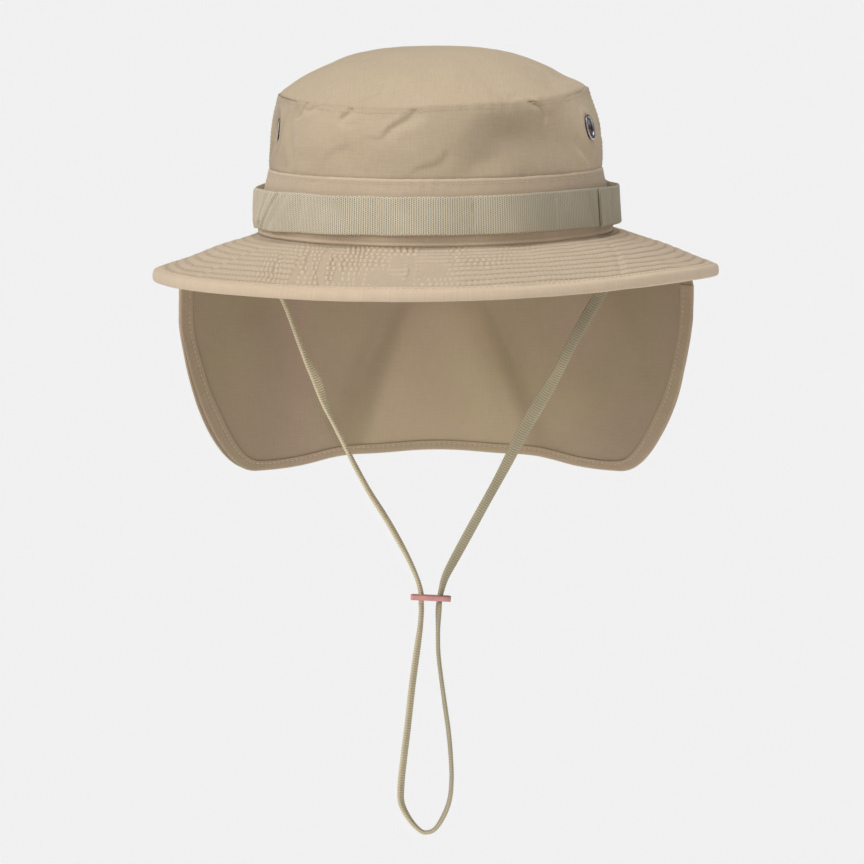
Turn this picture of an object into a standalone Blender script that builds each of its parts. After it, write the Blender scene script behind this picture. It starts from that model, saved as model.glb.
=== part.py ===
"""A wide-brimmed sun hat (boonie hat) with a hanging neck flap, a foliage band and a chin cord.

Metres, +Z up. The origin is the centre of the head opening, at the seam where crown and brim meet. The
front of the hat faces -Y, and PHI is measured from the front, positive towards +X. The hat is oval:
every ring that is r wide to the side is r + OVAL_EXTRA long to the front and to the back.
"""

import math

import bmesh
import bpy
from mathutils import Matrix, Vector

MM = 0.001

# Head opening and crown
OVAL_EXTRA = 11.5 * MM
ROOT_RADIUS = 91.5 * MM
CLOTH = 1.0 * MM
SEAM_GAP = 0.6 * MM
SEAM_RADIUS = 80.8 * MM
SEAM_HEIGHT = 69.8 * MM
DOME_HEIGHT = 24.6 * MM
BAND_HEIGHT = 31.0 * MM
BAND_TOP_RADIUS = 85.7 * MM
CROWN_BULGE = 1.6 * MM
SWEATBAND_HEIGHT = 26.0 * MM
SWEATBAND_THICKNESS = 1.4 * MM
SWEATBAND_INSET = 1.6 * MM
TURN_STEPS = 48
RING_STEPS = 20

# Brim
BRIM_INNER = 90.6 * MM
BRIM_OUTER = 145.0 * MM
BRIM_TOP = -0.5 * MM
BRIM_DROP = 19.3 * MM
BRIM_CURVE = 1.25
BRIM_DIP = 4.5 * MM
BRIM_SLOPE = 1.16
INTERLINING = 0.8 * MM
PLY_GAP = 0.35 * MM
BINDING_THICKNESS = 0.9 * MM
BINDING_WIDTH = 4.6 * MM

# Foliage band: webbing tacked to the crown so that it stands off between the tacks
WEBBING_WIDTH = 20.0 * MM
WEBBING_THICKNESS = 1.5 * MM
WEBBING_BOTTOM = 3.2 * MM
WEBBING_TILT = 1.0 * MM
WEBBING_LEAN = 1.0 * MM
WEBBING_RADIUS = 92.2 * MM
LOOP_BULGE = 2.4 * MM
LOOP_COUNT = 12
LOOP_STEP = 360.0 / LOOP_COUNT
FIRST_TACK = 12.5
SIDE_LOOP = 0.4
FRONT_STRIP = (-112.0, 74.5)
BACK_STRIP = (63.0, 260.0)
LAP_SLOPE = 30.0
TACK_WIDTH = 1.6 * MM
TACK_THICKNESS = 0.5 * MM
TACK_HEIGHT = 17.0 * MM

# Vent eyelets
EYELET_HEIGHT = 52.5 * MM
EYELET_PHI = 74.0
EYELET_TURN = -3.0
EYELET_FLANGE = 6.2 * MM
EYELET_BORE = 4.5 * MM
EYELET_WALL = 0.6 * MM
EYELET_DEPTH = 3.4 * MM
EYELET_STANDOFF = 0.55 * MM
CLOTH_HOLE = 5.5 * MM
WASHER_RADIUS = 6.8 * MM
WASHER_THICKNESS = 0.7 * MM

# Neck flap: it leaves the seam under the brim, runs outwards and turns down into a curved wall
FLAP_RADIUS = 160.0 * MM
FLAP_BACK = 128.0 * MM
FLAP_HALF_ANGLE = 56.5
FLAP_THICKNESS = 1.4 * MM
FLAP_RING = 96.4 * MM
FLAP_RING_PHI = 80.0
FLAP_CORNER = 10.0 * MM
FLAP_SIDE_HEIGHT = -50.0 * MM
FLAP_BOTTOM = -132.6 * MM
FLAP_MIDDLE_RISE = 8.2 * MM
FLAP_LOBE = 100.5 * MM
FLAP_LOBE_POWER = 1.6
FLAP_CLEARANCE = 1.3 * MM
FLAP_EDGE_CLEARANCE = 2.6 * MM
HEM_WIDTH = 7.0 * MM
HEM_THICKNESS = 0.8 * MM
HEM_TOP = -37.0 * MM
TAPE_THICKNESS = 1.0 * MM
TAPE_INNER = 91.4 * MM
TAPE_OUTER = 95.8 * MM

# Hinge on which the flap falls in, through its front corners
FLAP_HINGE = Vector((0.0, 20.0, -22.0)) * MM

# Chin cord and its leather slider
CORD_RADIUS = 1.5 * MM
CORD_LEFT = -97.0 * MM
CORD_RIGHT = 99.0 * MM
CORD_PIVOT_HEIGHT = -8.6 * MM
SLIDER_CENTRE = -2.6 * MM
SLIDER_HEIGHT = -191.0 * MM
SLIDER_LENGTH = 20.8 * MM
SLIDER_DEPTH = 9.0 * MM
SLIDER_THICKNESS = 2.6 * MM
SLIDER_HOLE_OFFSET = 4.5 * MM
SLIDER_HOLE = 1.95 * MM
ANCHOR_SIZE = Vector((9.0, 8.0, 0.8)) * MM

KHAKI = (0.52, 0.42, 0.30)
KHAKI_DARK = (0.40, 0.32, 0.23)
SAGE = (0.47, 0.44, 0.33)
CORD_OLIVE = (0.42, 0.39, 0.25)
NICKEL = (0.55, 0.53, 0.54)
LEATHER = (0.55, 0.27, 0.22)


def clear_scene():
    for obj in list(bpy.data.objects):
        bpy.data.objects.remove(obj)


def collection(name):
    made = bpy.data.collections.new(name)
    bpy.context.scene.collection.children.link(made)
    return made


def material(name, colour, roughness=0.9, metallic=0.0):
    made = bpy.data.materials.new(name)
    made.use_nodes = True
    shader = made.node_tree.nodes["Principled BSDF"]
    shader.inputs["Base Color"].default_value = (*colour, 1.0)
    shader.inputs["Roughness"].default_value = roughness
    shader.inputs["Metallic"].default_value = metallic
    return made


def new_object(name, mesh, mat, group):
    obj = bpy.data.objects.new(name, mesh)
    obj.data.materials.append(mat)
    group.objects.link(obj)
    return obj


def smooth(obj, degrees=40):
    obj.data.shade_smooth()
    obj.data.set_sharp_from_angle(angle=math.radians(degrees))
    return obj


def evaluated_mesh(obj):
    """The object's mesh with its modifiers and its placement applied. The object is removed."""
    bpy.context.view_layer.update()
    graph = bpy.context.evaluated_depsgraph_get()
    mesh = bpy.data.meshes.new_from_object(obj.evaluated_get(graph))
    mesh.transform(obj.matrix_world)
    bpy.data.objects.remove(obj)
    return mesh


def stretch(radius):
    """How far a ring of this side radius reaches past it to the front and to the back."""
    return OVAL_EXTRA * min(1.0, radius / SEAM_RADIUS)


def oval(radius, phi, z):
    """The point of the oval ring of this side radius at phi degrees from the front."""
    angle = math.radians(phi)
    return Vector((radius * math.sin(angle), -(radius + stretch(radius)) * math.cos(angle), z))


def oval_normal(radius, phi):
    """The level unit normal of that ring, pointing out."""
    angle = math.radians(phi)
    return Vector((math.sin(angle) * (radius + stretch(radius)), -math.cos(angle) * radius, 0)).normalized()


def ring_radius(x, y):
    """The side radius of the oval ring that passes through a point."""
    low, high = 0.0, 0.3
    for _ in range(40):
        middle = (low + high) / 2
        if math.hypot(x / middle, y / (middle + stretch(middle))) > 1:
            low = middle
        else:
            high = middle
    return (low + high) / 2


def turned(name, profile, closed=False, start=0.0, sweep=360.0, steps=TURN_STEPS):
    """The mesh that a profile of (radius, z) points, outer side from top to bottom, makes when turned."""
    line = bpy.data.meshes.new(name)
    edges = [(i, i + 1) for i in range(len(profile) - 1)]
    if closed:
        edges.append((len(profile) - 1, 0))
    line.from_pydata([(r, 0, z) for r, z in profile], edges, [])
    obj = bpy.data.objects.new(name + "_profile", line)
    bpy.context.scene.collection.objects.link(obj)
    obj.rotation_euler.z = math.radians(start - 90)
    screw = obj.modifiers.new("turn", "SCREW")
    screw.axis = "Z"
    screw.angle = math.radians(sweep)
    screw.steps = round(steps * sweep / 360)
    screw.render_steps = screw.steps
    screw.use_merge_vertices = sweep == 360
    screw.merge_threshold = 0.00001
    return evaluated_mesh(obj)


def make_oval(mesh):
    """Stretches a turned mesh to the oval of the head."""
    for vertex in mesh.vertices:
        radius = math.hypot(vertex.co.x, vertex.co.y)
        if radius > 1e-7:
            vertex.co.y *= 1 + stretch(radius) / radius
    return mesh


def solidify(obj, thickness, offset=-1.0):
    """Thickens an open surface: offset -1 keeps the surface as the outer face, 1 as the inner one."""
    shell = obj.modifiers.new("thickness", "SOLIDIFY")
    shell.thickness = thickness
    shell.offset = offset
    shell.use_even_offset = True
    return obj


def oval_shell(name, profile, thickness, mat, group, start=0.0, sweep=360.0):
    mesh = make_oval(turned(name, profile, start=start, sweep=sweep))
    return smooth(solidify(new_object(name, mesh, mat, group), thickness))


def sheet(name, columns, rows, place, thickness, mat, group, offset=0.0):
    """A grid whose points place(u, v) lays out, with u from -1 to 1 and v from 0 to 1, then thickened."""
    grid = bmesh.new()
    bmesh.ops.create_grid(grid, x_segments=columns, y_segments=rows, size=1.0)
    for vertex in grid.verts:
        vertex.co = place(vertex.co.x, (vertex.co.y + 1) / 2)
    mesh = bpy.data.meshes.new(name)
    grid.to_mesh(mesh)
    grid.free()
    return smooth(solidify(new_object(name, mesh, mat, group), thickness, offset))


def move_to(obj, group):
    for other in list(obj.users_collection):
        other.objects.unlink(obj)
    group.objects.link(obj)


def box(name, size, mat, group):
    bpy.ops.mesh.primitive_cube_add(size=1)
    obj = bpy.context.object
    obj.name = name
    obj.data.transform(Matrix.Diagonal((*size, 1.0)))
    obj.data.materials.append(mat)
    move_to(obj, group)
    return obj


def drill(target, name, radius, depth, cutters):
    """Cuts a round hole through the target, and returns the cutter so that it can be placed."""
    bpy.ops.mesh.primitive_cylinder_add(vertices=16, radius=radius, depth=depth)
    cutter = bpy.context.object
    cutter.name = f"cutter_{name}"
    cutter.hide_render = True
    cutter.display_type = "WIRE"
    move_to(cutter, cutters)
    hole = target.modifiers.new(name, "BOOLEAN")
    hole.operation = "DIFFERENCE"
    hole.object = cutter
    return cutter


def pivot(name, location, children):
    """An empty on a joint's axis, with the pieces that turn about it as its children."""
    empty = bpy.data.objects.new(name, None)
    empty.location = location
    bpy.context.scene.collection.objects.link(empty)
    bpy.context.view_layer.update()
    for child in children:
        child.parent = empty
        child.matrix_parent_inverse = empty.matrix_world.inverted()
    return empty


def ease(t):
    t = min(1.0, max(0.0, t))
    return t * t * (3 - 2 * t)


# Crown


def dome_height(radius):
    return SEAM_HEIGHT + DOME_HEIGHT * (1 - (radius / SEAM_RADIUS) ** 3)


def crown_radius(z):
    """The crown's outer side radius above the lower band: it tapers, and bulges a little."""
    t = (z - BAND_HEIGHT) / (SEAM_HEIGHT - BAND_HEIGHT)
    straight = BAND_TOP_RADIUS + (SEAM_RADIUS - BAND_TOP_RADIUS) * t
    return straight + CROWN_BULGE * math.sin(math.pi * t) * (0.6 + t)


def band_radius(z):
    """The lower band's outer side radius: it flares from the crown out to the seam with the brim."""
    t = z / BAND_HEIGHT
    return ROOT_RADIUS + (BAND_TOP_RADIUS - ROOT_RADIUS) * t**1.7


def crown_tip(mat, group):
    rim = SEAM_RADIUS - 0.2 * MM
    radii = [rim * math.sqrt(i / 7) for i in range(8)]
    profile = [(r, dome_height(r)) for r in radii]
    return oval_shell("crown_tip", profile, CLOTH, mat, group)


def vent_places():
    """(name, phi) of the four vent eyelets: a pair on each side of the crown."""
    places = []
    for side, sign in (("left", -1), ("right", 1)):
        for end, phi in (("front", EYELET_PHI), ("rear", 180 - EYELET_PHI)):
            places.append((f"{side}_{end}", sign * phi + EYELET_TURN))
    return places


def vent_frame(phi, inset):
    """Origin and rotation of a vent, with its axis out of the crown, moved in by inset."""
    radius = crown_radius(EYELET_HEIGHT)
    step = 1 * MM
    rise = (crown_radius(EYELET_HEIGHT - step) - crown_radius(EYELET_HEIGHT + step)) / (2 * step)
    axis = (oval_normal(radius, phi) + Vector((0, 0, rise))).normalized()
    return oval(radius, phi, EYELET_HEIGHT) - axis * inset, axis.to_track_quat("Z", "Y")


def crown_sides(mat, group, cutters):
    """The front and back side panels, which meet in a seam on each side, with holes for the vents."""
    top = SEAM_HEIGHT - SEAM_GAP
    bottom = BAND_HEIGHT + SEAM_GAP / 2
    heights = [top + (bottom - top) * i / 5 for i in range(6)]
    profile = [(crown_radius(z), z) for z in heights]
    profile[0] = (profile[0][0] + 0.5 * MM, top)
    seam = math.degrees(0.2 * MM / ROOT_RADIUS)
    for name, middle in (("crown_side_front", 0.0), ("crown_side_back", 180.0)):
        panel = oval_shell(name, profile, CLOTH, mat, group, middle - 90 + seam, 180 - 2 * seam)
        for place, phi in vent_places():
            if place.endswith("front") == (middle == 0.0):
                cutter = drill(panel, f"vent_{place}", CLOTH_HOLE, 10 * MM, cutters)
                cutter.location, turn = vent_frame(phi, 0.0)
                cutter.rotation_mode = "QUATERNION"
                cutter.rotation_quaternion = turn


def lower_band(mat, group):
    heights = [BAND_HEIGHT * i / 4 for i in range(4, -1, -1)]
    heights[0] -= SEAM_GAP / 2
    profile = [(band_radius(z), z) for z in heights]
    return oval_shell("crown_lower_band", profile, CLOTH, mat, group)


def sweatband(mat, group):
    heights = [SWEATBAND_HEIGHT * i / 4 for i in range(4, -1, -1)]
    profile = [(band_radius(z) - SWEATBAND_INSET, z) for z in heights]
    return oval_shell("sweatband", profile, SWEATBAND_THICKNESS, mat, group)


# Vent eyelets and washers


def vent_ring(name, profile, phi, inset, mat, group):
    origin, turn = vent_frame(phi, inset)
    mesh = turned(name, profile, closed=True, steps=RING_STEPS)
    obj = smooth(new_object(name, mesh, mat, group))
    obj.location = origin
    obj.rotation_mode = "QUATERNION"
    obj.rotation_quaternion = turn
    return obj


def vents(mat, group):
    """Each vent is an eyelet with a flange outside and a barrel through the cloth, and a washer inside."""
    barrel = EYELET_BORE + EYELET_WALL
    lip = EYELET_STANDOFF + 1.0 * MM
    eyelet = [
        (EYELET_BORE + 0.3 * MM, lip),
        (EYELET_FLANGE - 0.5 * MM, lip),
        (EYELET_FLANGE, lip - 0.45 * MM),
        (EYELET_FLANGE, EYELET_STANDOFF),
        (barrel, EYELET_STANDOFF),
        (barrel, EYELET_STANDOFF - EYELET_DEPTH),
        (EYELET_BORE, EYELET_STANDOFF - EYELET_DEPTH),
        (EYELET_BORE, lip - 0.5 * MM),
    ]
    inner = barrel + 0.35 * MM
    washer = [
        (inner, 0),
        (WASHER_RADIUS, 0),
        (WASHER_RADIUS, -WASHER_THICKNESS),
        (inner, -WASHER_THICKNESS),
    ]
    for place, phi in vent_places():
        vent_ring(f"eyelet_{place}", eyelet, phi, 0.0, mat, group)
        vent_ring(f"eyelet_washer_{place}", washer, phi, CLOTH + EYELET_STANDOFF + 0.2 * MM, mat, group)


# Brim


def brim_top(radius):
    """Height of the brim's top face at its sides."""
    t = max(0.0, (radius - BRIM_INNER) / (BRIM_OUTER - BRIM_INNER))
    return BRIM_TOP - BRIM_DROP * t**BRIM_CURVE


def brim_dip(x, y):
    """How much further than at its sides the brim droops at its front and its back."""
    radius = ring_radius(x, y)
    t = max(0.0, (radius - BRIM_INNER) / (BRIM_OUTER - BRIM_INNER))
    return BRIM_DIP * t**1.5 * (y / (radius + stretch(radius))) ** 2


def ply_steps():
    """Depths of the interlining, of the lower ply and of the brim's underside below its top face.

    A sloping ply is BRIM_SLOPE times as tall as it is thick where the brim is steepest.
    """
    lining = CLOTH * BRIM_SLOPE + PLY_GAP
    lower = lining + INTERLINING * BRIM_SLOPE + PLY_GAP
    return lining, lower, lower + CLOTH * BRIM_SLOPE


def brim_under(radius):
    return brim_top(radius) - ply_steps()[2]


def brim_shell(name, profile, thickness, offset, mat, group):
    mesh = make_oval(turned(name, profile))
    for vertex in mesh.vertices:
        vertex.co.z -= brim_dip(vertex.co.x, vertex.co.y)
    return smooth(solidify(new_object(name, mesh, mat, group), thickness, offset))


def brim(cloth, core, group):
    lining, lower, _ = ply_steps()
    radii = [BRIM_INNER + (BRIM_OUTER - BRIM_INNER) * (i / 4) for i in range(5)]
    plies = (
        ("brim_upper", 0.0, CLOTH, cloth),
        ("brim_interlining", lining, INTERLINING, core),
        ("brim_lower", lower, CLOTH, cloth),
    )
    for name, depth, thickness, mat in plies:
        profile = [(r, brim_top(r) - depth) for r in radii]
        brim_shell(name, profile, thickness, -1.0, mat, group)


def brim_binding(mat, group):
    """The folded strip that wraps the outer edge of the three plies."""
    start = BRIM_OUTER - BINDING_WIDTH
    gap = PLY_GAP + 0.1 * MM
    edge = BRIM_OUTER + gap
    middle = (brim_top(BRIM_OUTER) + brim_under(BRIM_OUTER)) / 2
    profile = [
        (start, brim_top(start) + gap),
        (BRIM_OUTER, brim_top(BRIM_OUTER) + gap),
        (edge + 0.3 * MM, middle + 0.9 * MM),
        (edge + 0.3 * MM, middle - 0.9 * MM),
        (BRIM_OUTER, brim_under(BRIM_OUTER) - gap),
        (start, brim_under(start) - gap),
    ]
    brim_shell("brim_edge_binding", profile, BINDING_THICKNESS, 1.0, mat, group)


# Foliage band


def webbing_radius(phi, share):
    """Inner side radius of the webbing, which leans in with height: share is 0 at the bottom edge."""
    bulge = LOOP_BULGE * (1 - (1 - SIDE_LOOP) * math.sin(math.radians(phi)) ** 4)
    from_tack = (phi - FIRST_TACK) / LOOP_STEP
    return WEBBING_RADIUS - WEBBING_LEAN * share + bulge * math.sin(math.pi * from_tack) ** 2


def webbing_bottom(phi):
    return WEBBING_BOTTOM + WEBBING_TILT * math.cos(math.radians(phi))


def webbing_lift(phi):
    """How far the back strip lies outside the front one: it laps over the front strip's ends."""
    past_right = phi - FRONT_STRIP[1] - 0.5
    past_left = 360 + FRONT_STRIP[0] - 0.5 - phi
    return (WEBBING_THICKNESS + 0.35 * MM) * ease(1 - min(past_right, past_left) / LAP_SLOPE)


def webbing_strip(name, ends, lift, mat, group):
    middle, half_sweep = sum(ends) / 2, (ends[1] - ends[0]) / 2

    def place(u, v):
        phi = middle + u * half_sweep
        radius = webbing_radius(phi, v) + (webbing_lift(phi) if lift else 0.0)
        return oval(radius, phi, webbing_bottom(phi) + WEBBING_WIDTH * v)

    columns = round(2 * half_sweep / 5)
    return sheet(name, columns, 2, place, WEBBING_THICKNESS, mat, group, offset=1.0)


def webbing(mat, group):
    webbing_strip("webbing_front", FRONT_STRIP, False, mat, group)
    webbing_strip("webbing_back", BACK_STRIP, True, mat, group)


def bar_tacks(mat, group):
    """The upright rows of stitches that hold the webbing to the crown between the loops."""
    for number in range(LOOP_COUNT):
        phi = FIRST_TACK + LOOP_STEP * number
        lift = webbing_lift(phi) if BACK_STRIP[0] < phi < BACK_STRIP[1] else 0.0
        foot = webbing_radius(phi, 0.5) + WEBBING_THICKNESS + lift
        size = (TACK_WIDTH, TACK_THICKNESS, TACK_HEIGHT)
        tack = box(f"bar_tack_{number + 1:02d}", size, mat, group)
        outward = oval_normal(foot, phi)
        lean = math.atan(WEBBING_LEAN / WEBBING_WIDTH)
        clearance = 0.4 * MM + TACK_THICKNESS / 2
        height = webbing_bottom(phi) + WEBBING_WIDTH / 2
        tack.location = oval(foot, phi, height) + outward * clearance
        tack.rotation_euler = (-lean, 0, math.atan2(outward.x, -outward.y))


# Neck flap


def under_brim(point, clearance):
    """Height of a sheet that passes under the brim at this level point."""
    radius = ring_radius(point.x, point.y)
    return brim_under(radius) - brim_dip(point.x, point.y) - clearance


def flap_wall(along):
    """Level position on the flap's wall, by the length along it from the middle of the back."""
    angle = along / FLAP_RADIUS
    back = FLAP_BACK - FLAP_RADIUS
    return Vector((FLAP_RADIUS * math.sin(angle), back + FLAP_RADIUS * math.cos(angle), 0))


def flap_edge(along):
    """Height of the flap's lower edge: two round lobes with a slightly higher middle."""
    half = math.radians(FLAP_HALF_ANGLE) * FLAP_RADIUS
    along = min(abs(along), half)
    if along <= FLAP_LOBE:
        return FLAP_BOTTOM + FLAP_MIDDLE_RISE * (1 - ease(along / FLAP_LOBE))
    share = (along - FLAP_LOBE) / (half - FLAP_LOBE)
    depth = (1 - share**FLAP_LOBE_POWER) ** (1 / FLAP_LOBE_POWER)
    return FLAP_SIDE_HEIGHT + (FLAP_BOTTOM - FLAP_SIDE_HEIGHT) * depth


def flap_point(u, v):
    """u runs along the flap from side to side, and v from the seam down to the lower edge."""
    angle = math.radians(FLAP_HALF_ANGLE)
    wall = flap_wall(u * angle * FLAP_RADIUS)
    root = oval(FLAP_RING, 180 - u * FLAP_RING_PHI, 0)
    reach = (wall - root).length
    turn = root.lerp(wall, 1 - FLAP_CORNER / reach)
    high = under_brim(wall, FLAP_EDGE_CLEARANCE)
    run_share, turn_share = 0.25, 0.42
    if v <= run_share:
        point = root.lerp(turn, v / run_share)
        slack = FLAP_CLEARANCE + (FLAP_EDGE_CLEARANCE - FLAP_CLEARANCE) * v / run_share
        point.z = under_brim(point, slack)
        return point
    turn.z = under_brim(turn, FLAP_EDGE_CLEARANCE)
    corner = Vector((wall.x, wall.y, high))
    below = Vector((wall.x, wall.y, high - FLAP_CORNER))
    if v <= turn_share:
        t = (v - run_share) / (turn_share - run_share)
        return turn.lerp(corner, t).lerp(corner.lerp(below, t), t)
    t = (v - turn_share) / (1 - turn_share)
    edge = Vector((wall.x, wall.y, flap_edge(u * angle * FLAP_RADIUS)))
    return below.lerp(edge, t)


def neck_flap(mat, group):
    return sheet("neck_flap", 24, 11, flap_point, FLAP_THICKNESS, mat, group)


def hem_line(u):
    """(along, height) of the flap's free edge: down one side, round the lobes, and up the other side."""
    half = math.radians(FLAP_HALF_ANGLE) * FLAP_RADIUS
    side, sign = abs(u), math.copysign(1, u)
    straight = 0.93
    if side > straight:
        t = (side - straight) / (1 - straight)
        return sign * half, FLAP_SIDE_HEIGHT + (HEM_TOP - FLAP_SIDE_HEIGHT) * t
    along = half * math.sin(side / straight * math.pi / 2)
    return sign * along, flap_edge(along)


def neck_flap_hem(mat, group):
    """The turned-up hem on the flap's inner face."""
    inset = FLAP_THICKNESS / 2 + 0.45 * MM + HEM_THICKNESS / 2
    step = 0.002

    def place(u, v):
        u = max(-1 + step, min(1 - step, u))
        before, at, after = (Vector((*hem_line(x), 0)) for x in (u - step, u, u + step))
        along = (after - before).normalized()
        inward = Vector((-along.y, along.x, 0))
        spot = at + inward * (HEM_WIDTH * v + 0.2 * MM)
        level = flap_wall(spot.x)
        outward = Vector((math.sin(spot.x / FLAP_RADIUS), math.cos(spot.x / FLAP_RADIUS), 0))
        return level - outward * inset + Vector((0, 0, spot.y))

    return sheet("neck_flap_hem", 40, 1, place, HEM_THICKNESS, mat, group)


def neck_flap_tape(mat, group):
    """The tape that joins the flap to the seam, which stays with the hat."""

    def place(u, v):
        radius = TAPE_INNER + (TAPE_OUTER - TAPE_INNER) * v
        point = oval(radius, 180 - u * FLAP_RING_PHI, 0)
        point.z = under_brim(point, PLY_GAP + TAPE_THICKNESS / 2)
        return point

    return sheet("neck_flap_tape", 24, 1, place, TAPE_THICKNESS, mat, group)


# Chin cord


def cord_anchors(mat, group):
    """The stitched tabs under the brim that hold the cord's ends."""
    for name, x in (("cord_anchor_left", CORD_LEFT), ("cord_anchor_right", CORD_RIGHT)):
        tab = box(name, ANCHOR_SIZE, mat, group)
        slope = math.atan((brim_under(abs(x) - 4 * MM) - brim_under(abs(x) + 4 * MM)) / (8 * MM))
        tab.location = (x, 0, brim_under(abs(x)) - PLY_GAP - 0.2 * MM - ANCHOR_SIZE.z / 2)
        tab.rotation_euler.y = math.copysign(slope, x)


def cord_path():
    """The cord from its left end, through the slider, round the loop and up to its right end."""
    left_hole = SLIDER_CENTRE - SLIDER_HOLE_OFFSET
    right_hole = SLIDER_CENTRE + SLIDER_HOLE_OFFSET
    above, below = SLIDER_HEIGHT + 5 * MM, SLIDER_HEIGHT - 5 * MM
    middle = SLIDER_CENTRE - 2.8 * MM
    bottom = SLIDER_HEIGHT - 123 * MM
    return [
        (CORD_LEFT, CORD_PIVOT_HEIGHT),
        (-64 * MM, -73 * MM),
        (-31 * MM, -137 * MM),
        (left_hole, above),
        (left_hole, below),
        (left_hole - 5 * MM, below - 40 * MM),
        (middle - 12.5 * MM, bottom + 25 * MM),
        (middle, bottom),
        (middle + 13.3 * MM, bottom + 28 * MM),
        (right_hole + 1.5 * MM, below - 42 * MM),
        (right_hole, below),
        (right_hole, above),
        (29 * MM, -135 * MM),
        (62 * MM, -77 * MM),
        (CORD_RIGHT, CORD_PIVOT_HEIGHT),
    ]


def chin_cord(mat, group):
    curve = bpy.data.curves.new("chin_cord", "CURVE")
    curve.dimensions = "3D"
    curve.bevel_depth = CORD_RADIUS
    curve.bevel_resolution = 1
    curve.resolution_u = 4
    curve.use_fill_caps = True
    path = cord_path()
    spline = curve.splines.new("BEZIER")
    spline.bezier_points.add(len(path) - 1)
    for point, (x, z) in zip(spline.bezier_points, path):
        point.co = (x, 0, z)
        point.handle_left_type = point.handle_right_type = "AUTO"
    obj = bpy.data.objects.new("chin_cord", curve)
    curve.materials.append(mat)
    group.objects.link(obj)
    return obj


def cord_slider(mat, group, cutters):
    """A leather tab with two holes, which the two strands of the cord pass through."""
    tab = box("cord_slider", (SLIDER_LENGTH, SLIDER_DEPTH, SLIDER_THICKNESS), mat, group)
    tab.location = (SLIDER_CENTRE, 0, SLIDER_HEIGHT)
    edge = tab.modifiers.new("rounded_corners", "BEVEL")
    edge.width = 0.5 * MM
    edge.segments = 2
    for side, offset in (("left", -SLIDER_HOLE_OFFSET), ("right", SLIDER_HOLE_OFFSET)):
        cutter = drill(tab, f"slider_{side}", SLIDER_HOLE, 3 * SLIDER_THICKNESS, cutters)
        cutter.location = (SLIDER_CENTRE + offset, 0, SLIDER_HEIGHT)
    return tab


def main():
    clear_scene()
    hat = collection("boonie_hat")
    cutters = collection("cutters")
    khaki = material("khaki_ripstop", KHAKI)
    dark = material("khaki_inner", KHAKI_DARK)
    core = material("interlining", (0.75, 0.73, 0.68))
    sage = material("sage_webbing", SAGE)
    olive = material("olive_cord", CORD_OLIVE)
    nickel = material("nickel", NICKEL, 0.35, 1.0)
    leather = material("leather", LEATHER, 0.6)

    crown_tip(khaki, hat)
    crown_sides(khaki, hat, cutters)
    lower_band(khaki, hat)
    sweatband(dark, hat)
    vents(nickel, hat)
    brim(khaki, core, hat)
    brim_binding(khaki, hat)
    webbing(sage, hat)
    bar_tacks(sage, hat)
    neck_flap_tape(dark, hat)
    flap = neck_flap(dark, hat)
    flap_hem = neck_flap_hem(dark, hat)
    pivot("neck_flap_hinge", FLAP_HINGE, [flap, flap_hem])
    cord_anchors(olive, hat)
    cord = chin_cord(olive, hat)
    slider = cord_slider(leather, hat, cutters)
    pivot("chin_cord_hinge", (0, 0, CORD_PIVOT_HEIGHT), [cord, slider])


main()
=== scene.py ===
"""Looks of the boonie hat: cloth, webbing, stitches, vents and cord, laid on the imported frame.

Metres. +Z is up and the front of the hat faces -Y. PHI is measured in degrees from the front, positive
towards +X. The hat is oval: a ring that is r wide to the side is r + OVAL_EXTRA long to front and back.
"""

import math

import bpy
import numpy as np
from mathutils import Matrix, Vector


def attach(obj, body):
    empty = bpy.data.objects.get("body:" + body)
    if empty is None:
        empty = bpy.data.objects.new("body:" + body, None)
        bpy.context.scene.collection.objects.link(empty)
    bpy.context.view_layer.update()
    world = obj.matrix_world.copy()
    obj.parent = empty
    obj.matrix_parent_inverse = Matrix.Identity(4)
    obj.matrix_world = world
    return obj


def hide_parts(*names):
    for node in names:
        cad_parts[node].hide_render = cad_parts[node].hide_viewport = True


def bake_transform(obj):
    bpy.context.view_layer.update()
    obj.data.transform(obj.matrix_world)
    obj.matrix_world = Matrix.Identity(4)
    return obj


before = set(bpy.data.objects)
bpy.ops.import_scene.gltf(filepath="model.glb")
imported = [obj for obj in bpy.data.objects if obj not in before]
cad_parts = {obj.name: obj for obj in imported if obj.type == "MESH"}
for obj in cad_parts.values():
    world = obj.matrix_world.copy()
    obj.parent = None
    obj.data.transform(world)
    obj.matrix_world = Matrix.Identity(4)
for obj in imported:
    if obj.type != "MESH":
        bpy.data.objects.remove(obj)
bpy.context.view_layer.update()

MM = 0.001

# The frame's own sizes
OVAL_EXTRA = 11.5 * MM
ROOT_RADIUS = 91.5 * MM
SEAM_RADIUS = 80.8 * MM
SEAM_HEIGHT = 69.8 * MM
DOME_HEIGHT = 24.6 * MM
BAND_HEIGHT = 31.0 * MM
BAND_TOP_RADIUS = 85.7 * MM
CROWN_BULGE = 1.6 * MM
CLOTH = 1.0 * MM
BRIM_INNER = 90.6 * MM
BRIM_OUTER = 145.0 * MM
BRIM_TOP = -0.5 * MM
BRIM_DROP = 19.3 * MM
BRIM_CURVE = 1.25
BRIM_DIP = 4.5 * MM
PLY_DEPTHS = (1.51 * MM, 2.79 * MM, 3.95 * MM)
WEBBING_WIDTH = 20.0 * MM
WEBBING_THICKNESS = 1.5 * MM
WEBBING_BOTTOM = 3.2 * MM
WEBBING_TILT = 1.0 * MM
WEBBING_LEAN = 1.0 * MM
WEBBING_RADIUS = 92.2 * MM
LOOP_BULGE = 2.4 * MM
LOOP_STEP = 30.0
FIRST_TACK = 12.5
SIDE_LOOP = 0.4
FRONT_STRIP = (-112.0, 74.5)
BACK_STRIP = (63.0, 260.0)
LAP_SLOPE = 30.0
EYELET_HEIGHT = 52.5 * MM
EYELET_PHI = 74.0
EYELET_TURN = -3.0
EYELET_HOLE = 5.6 * MM
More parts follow.
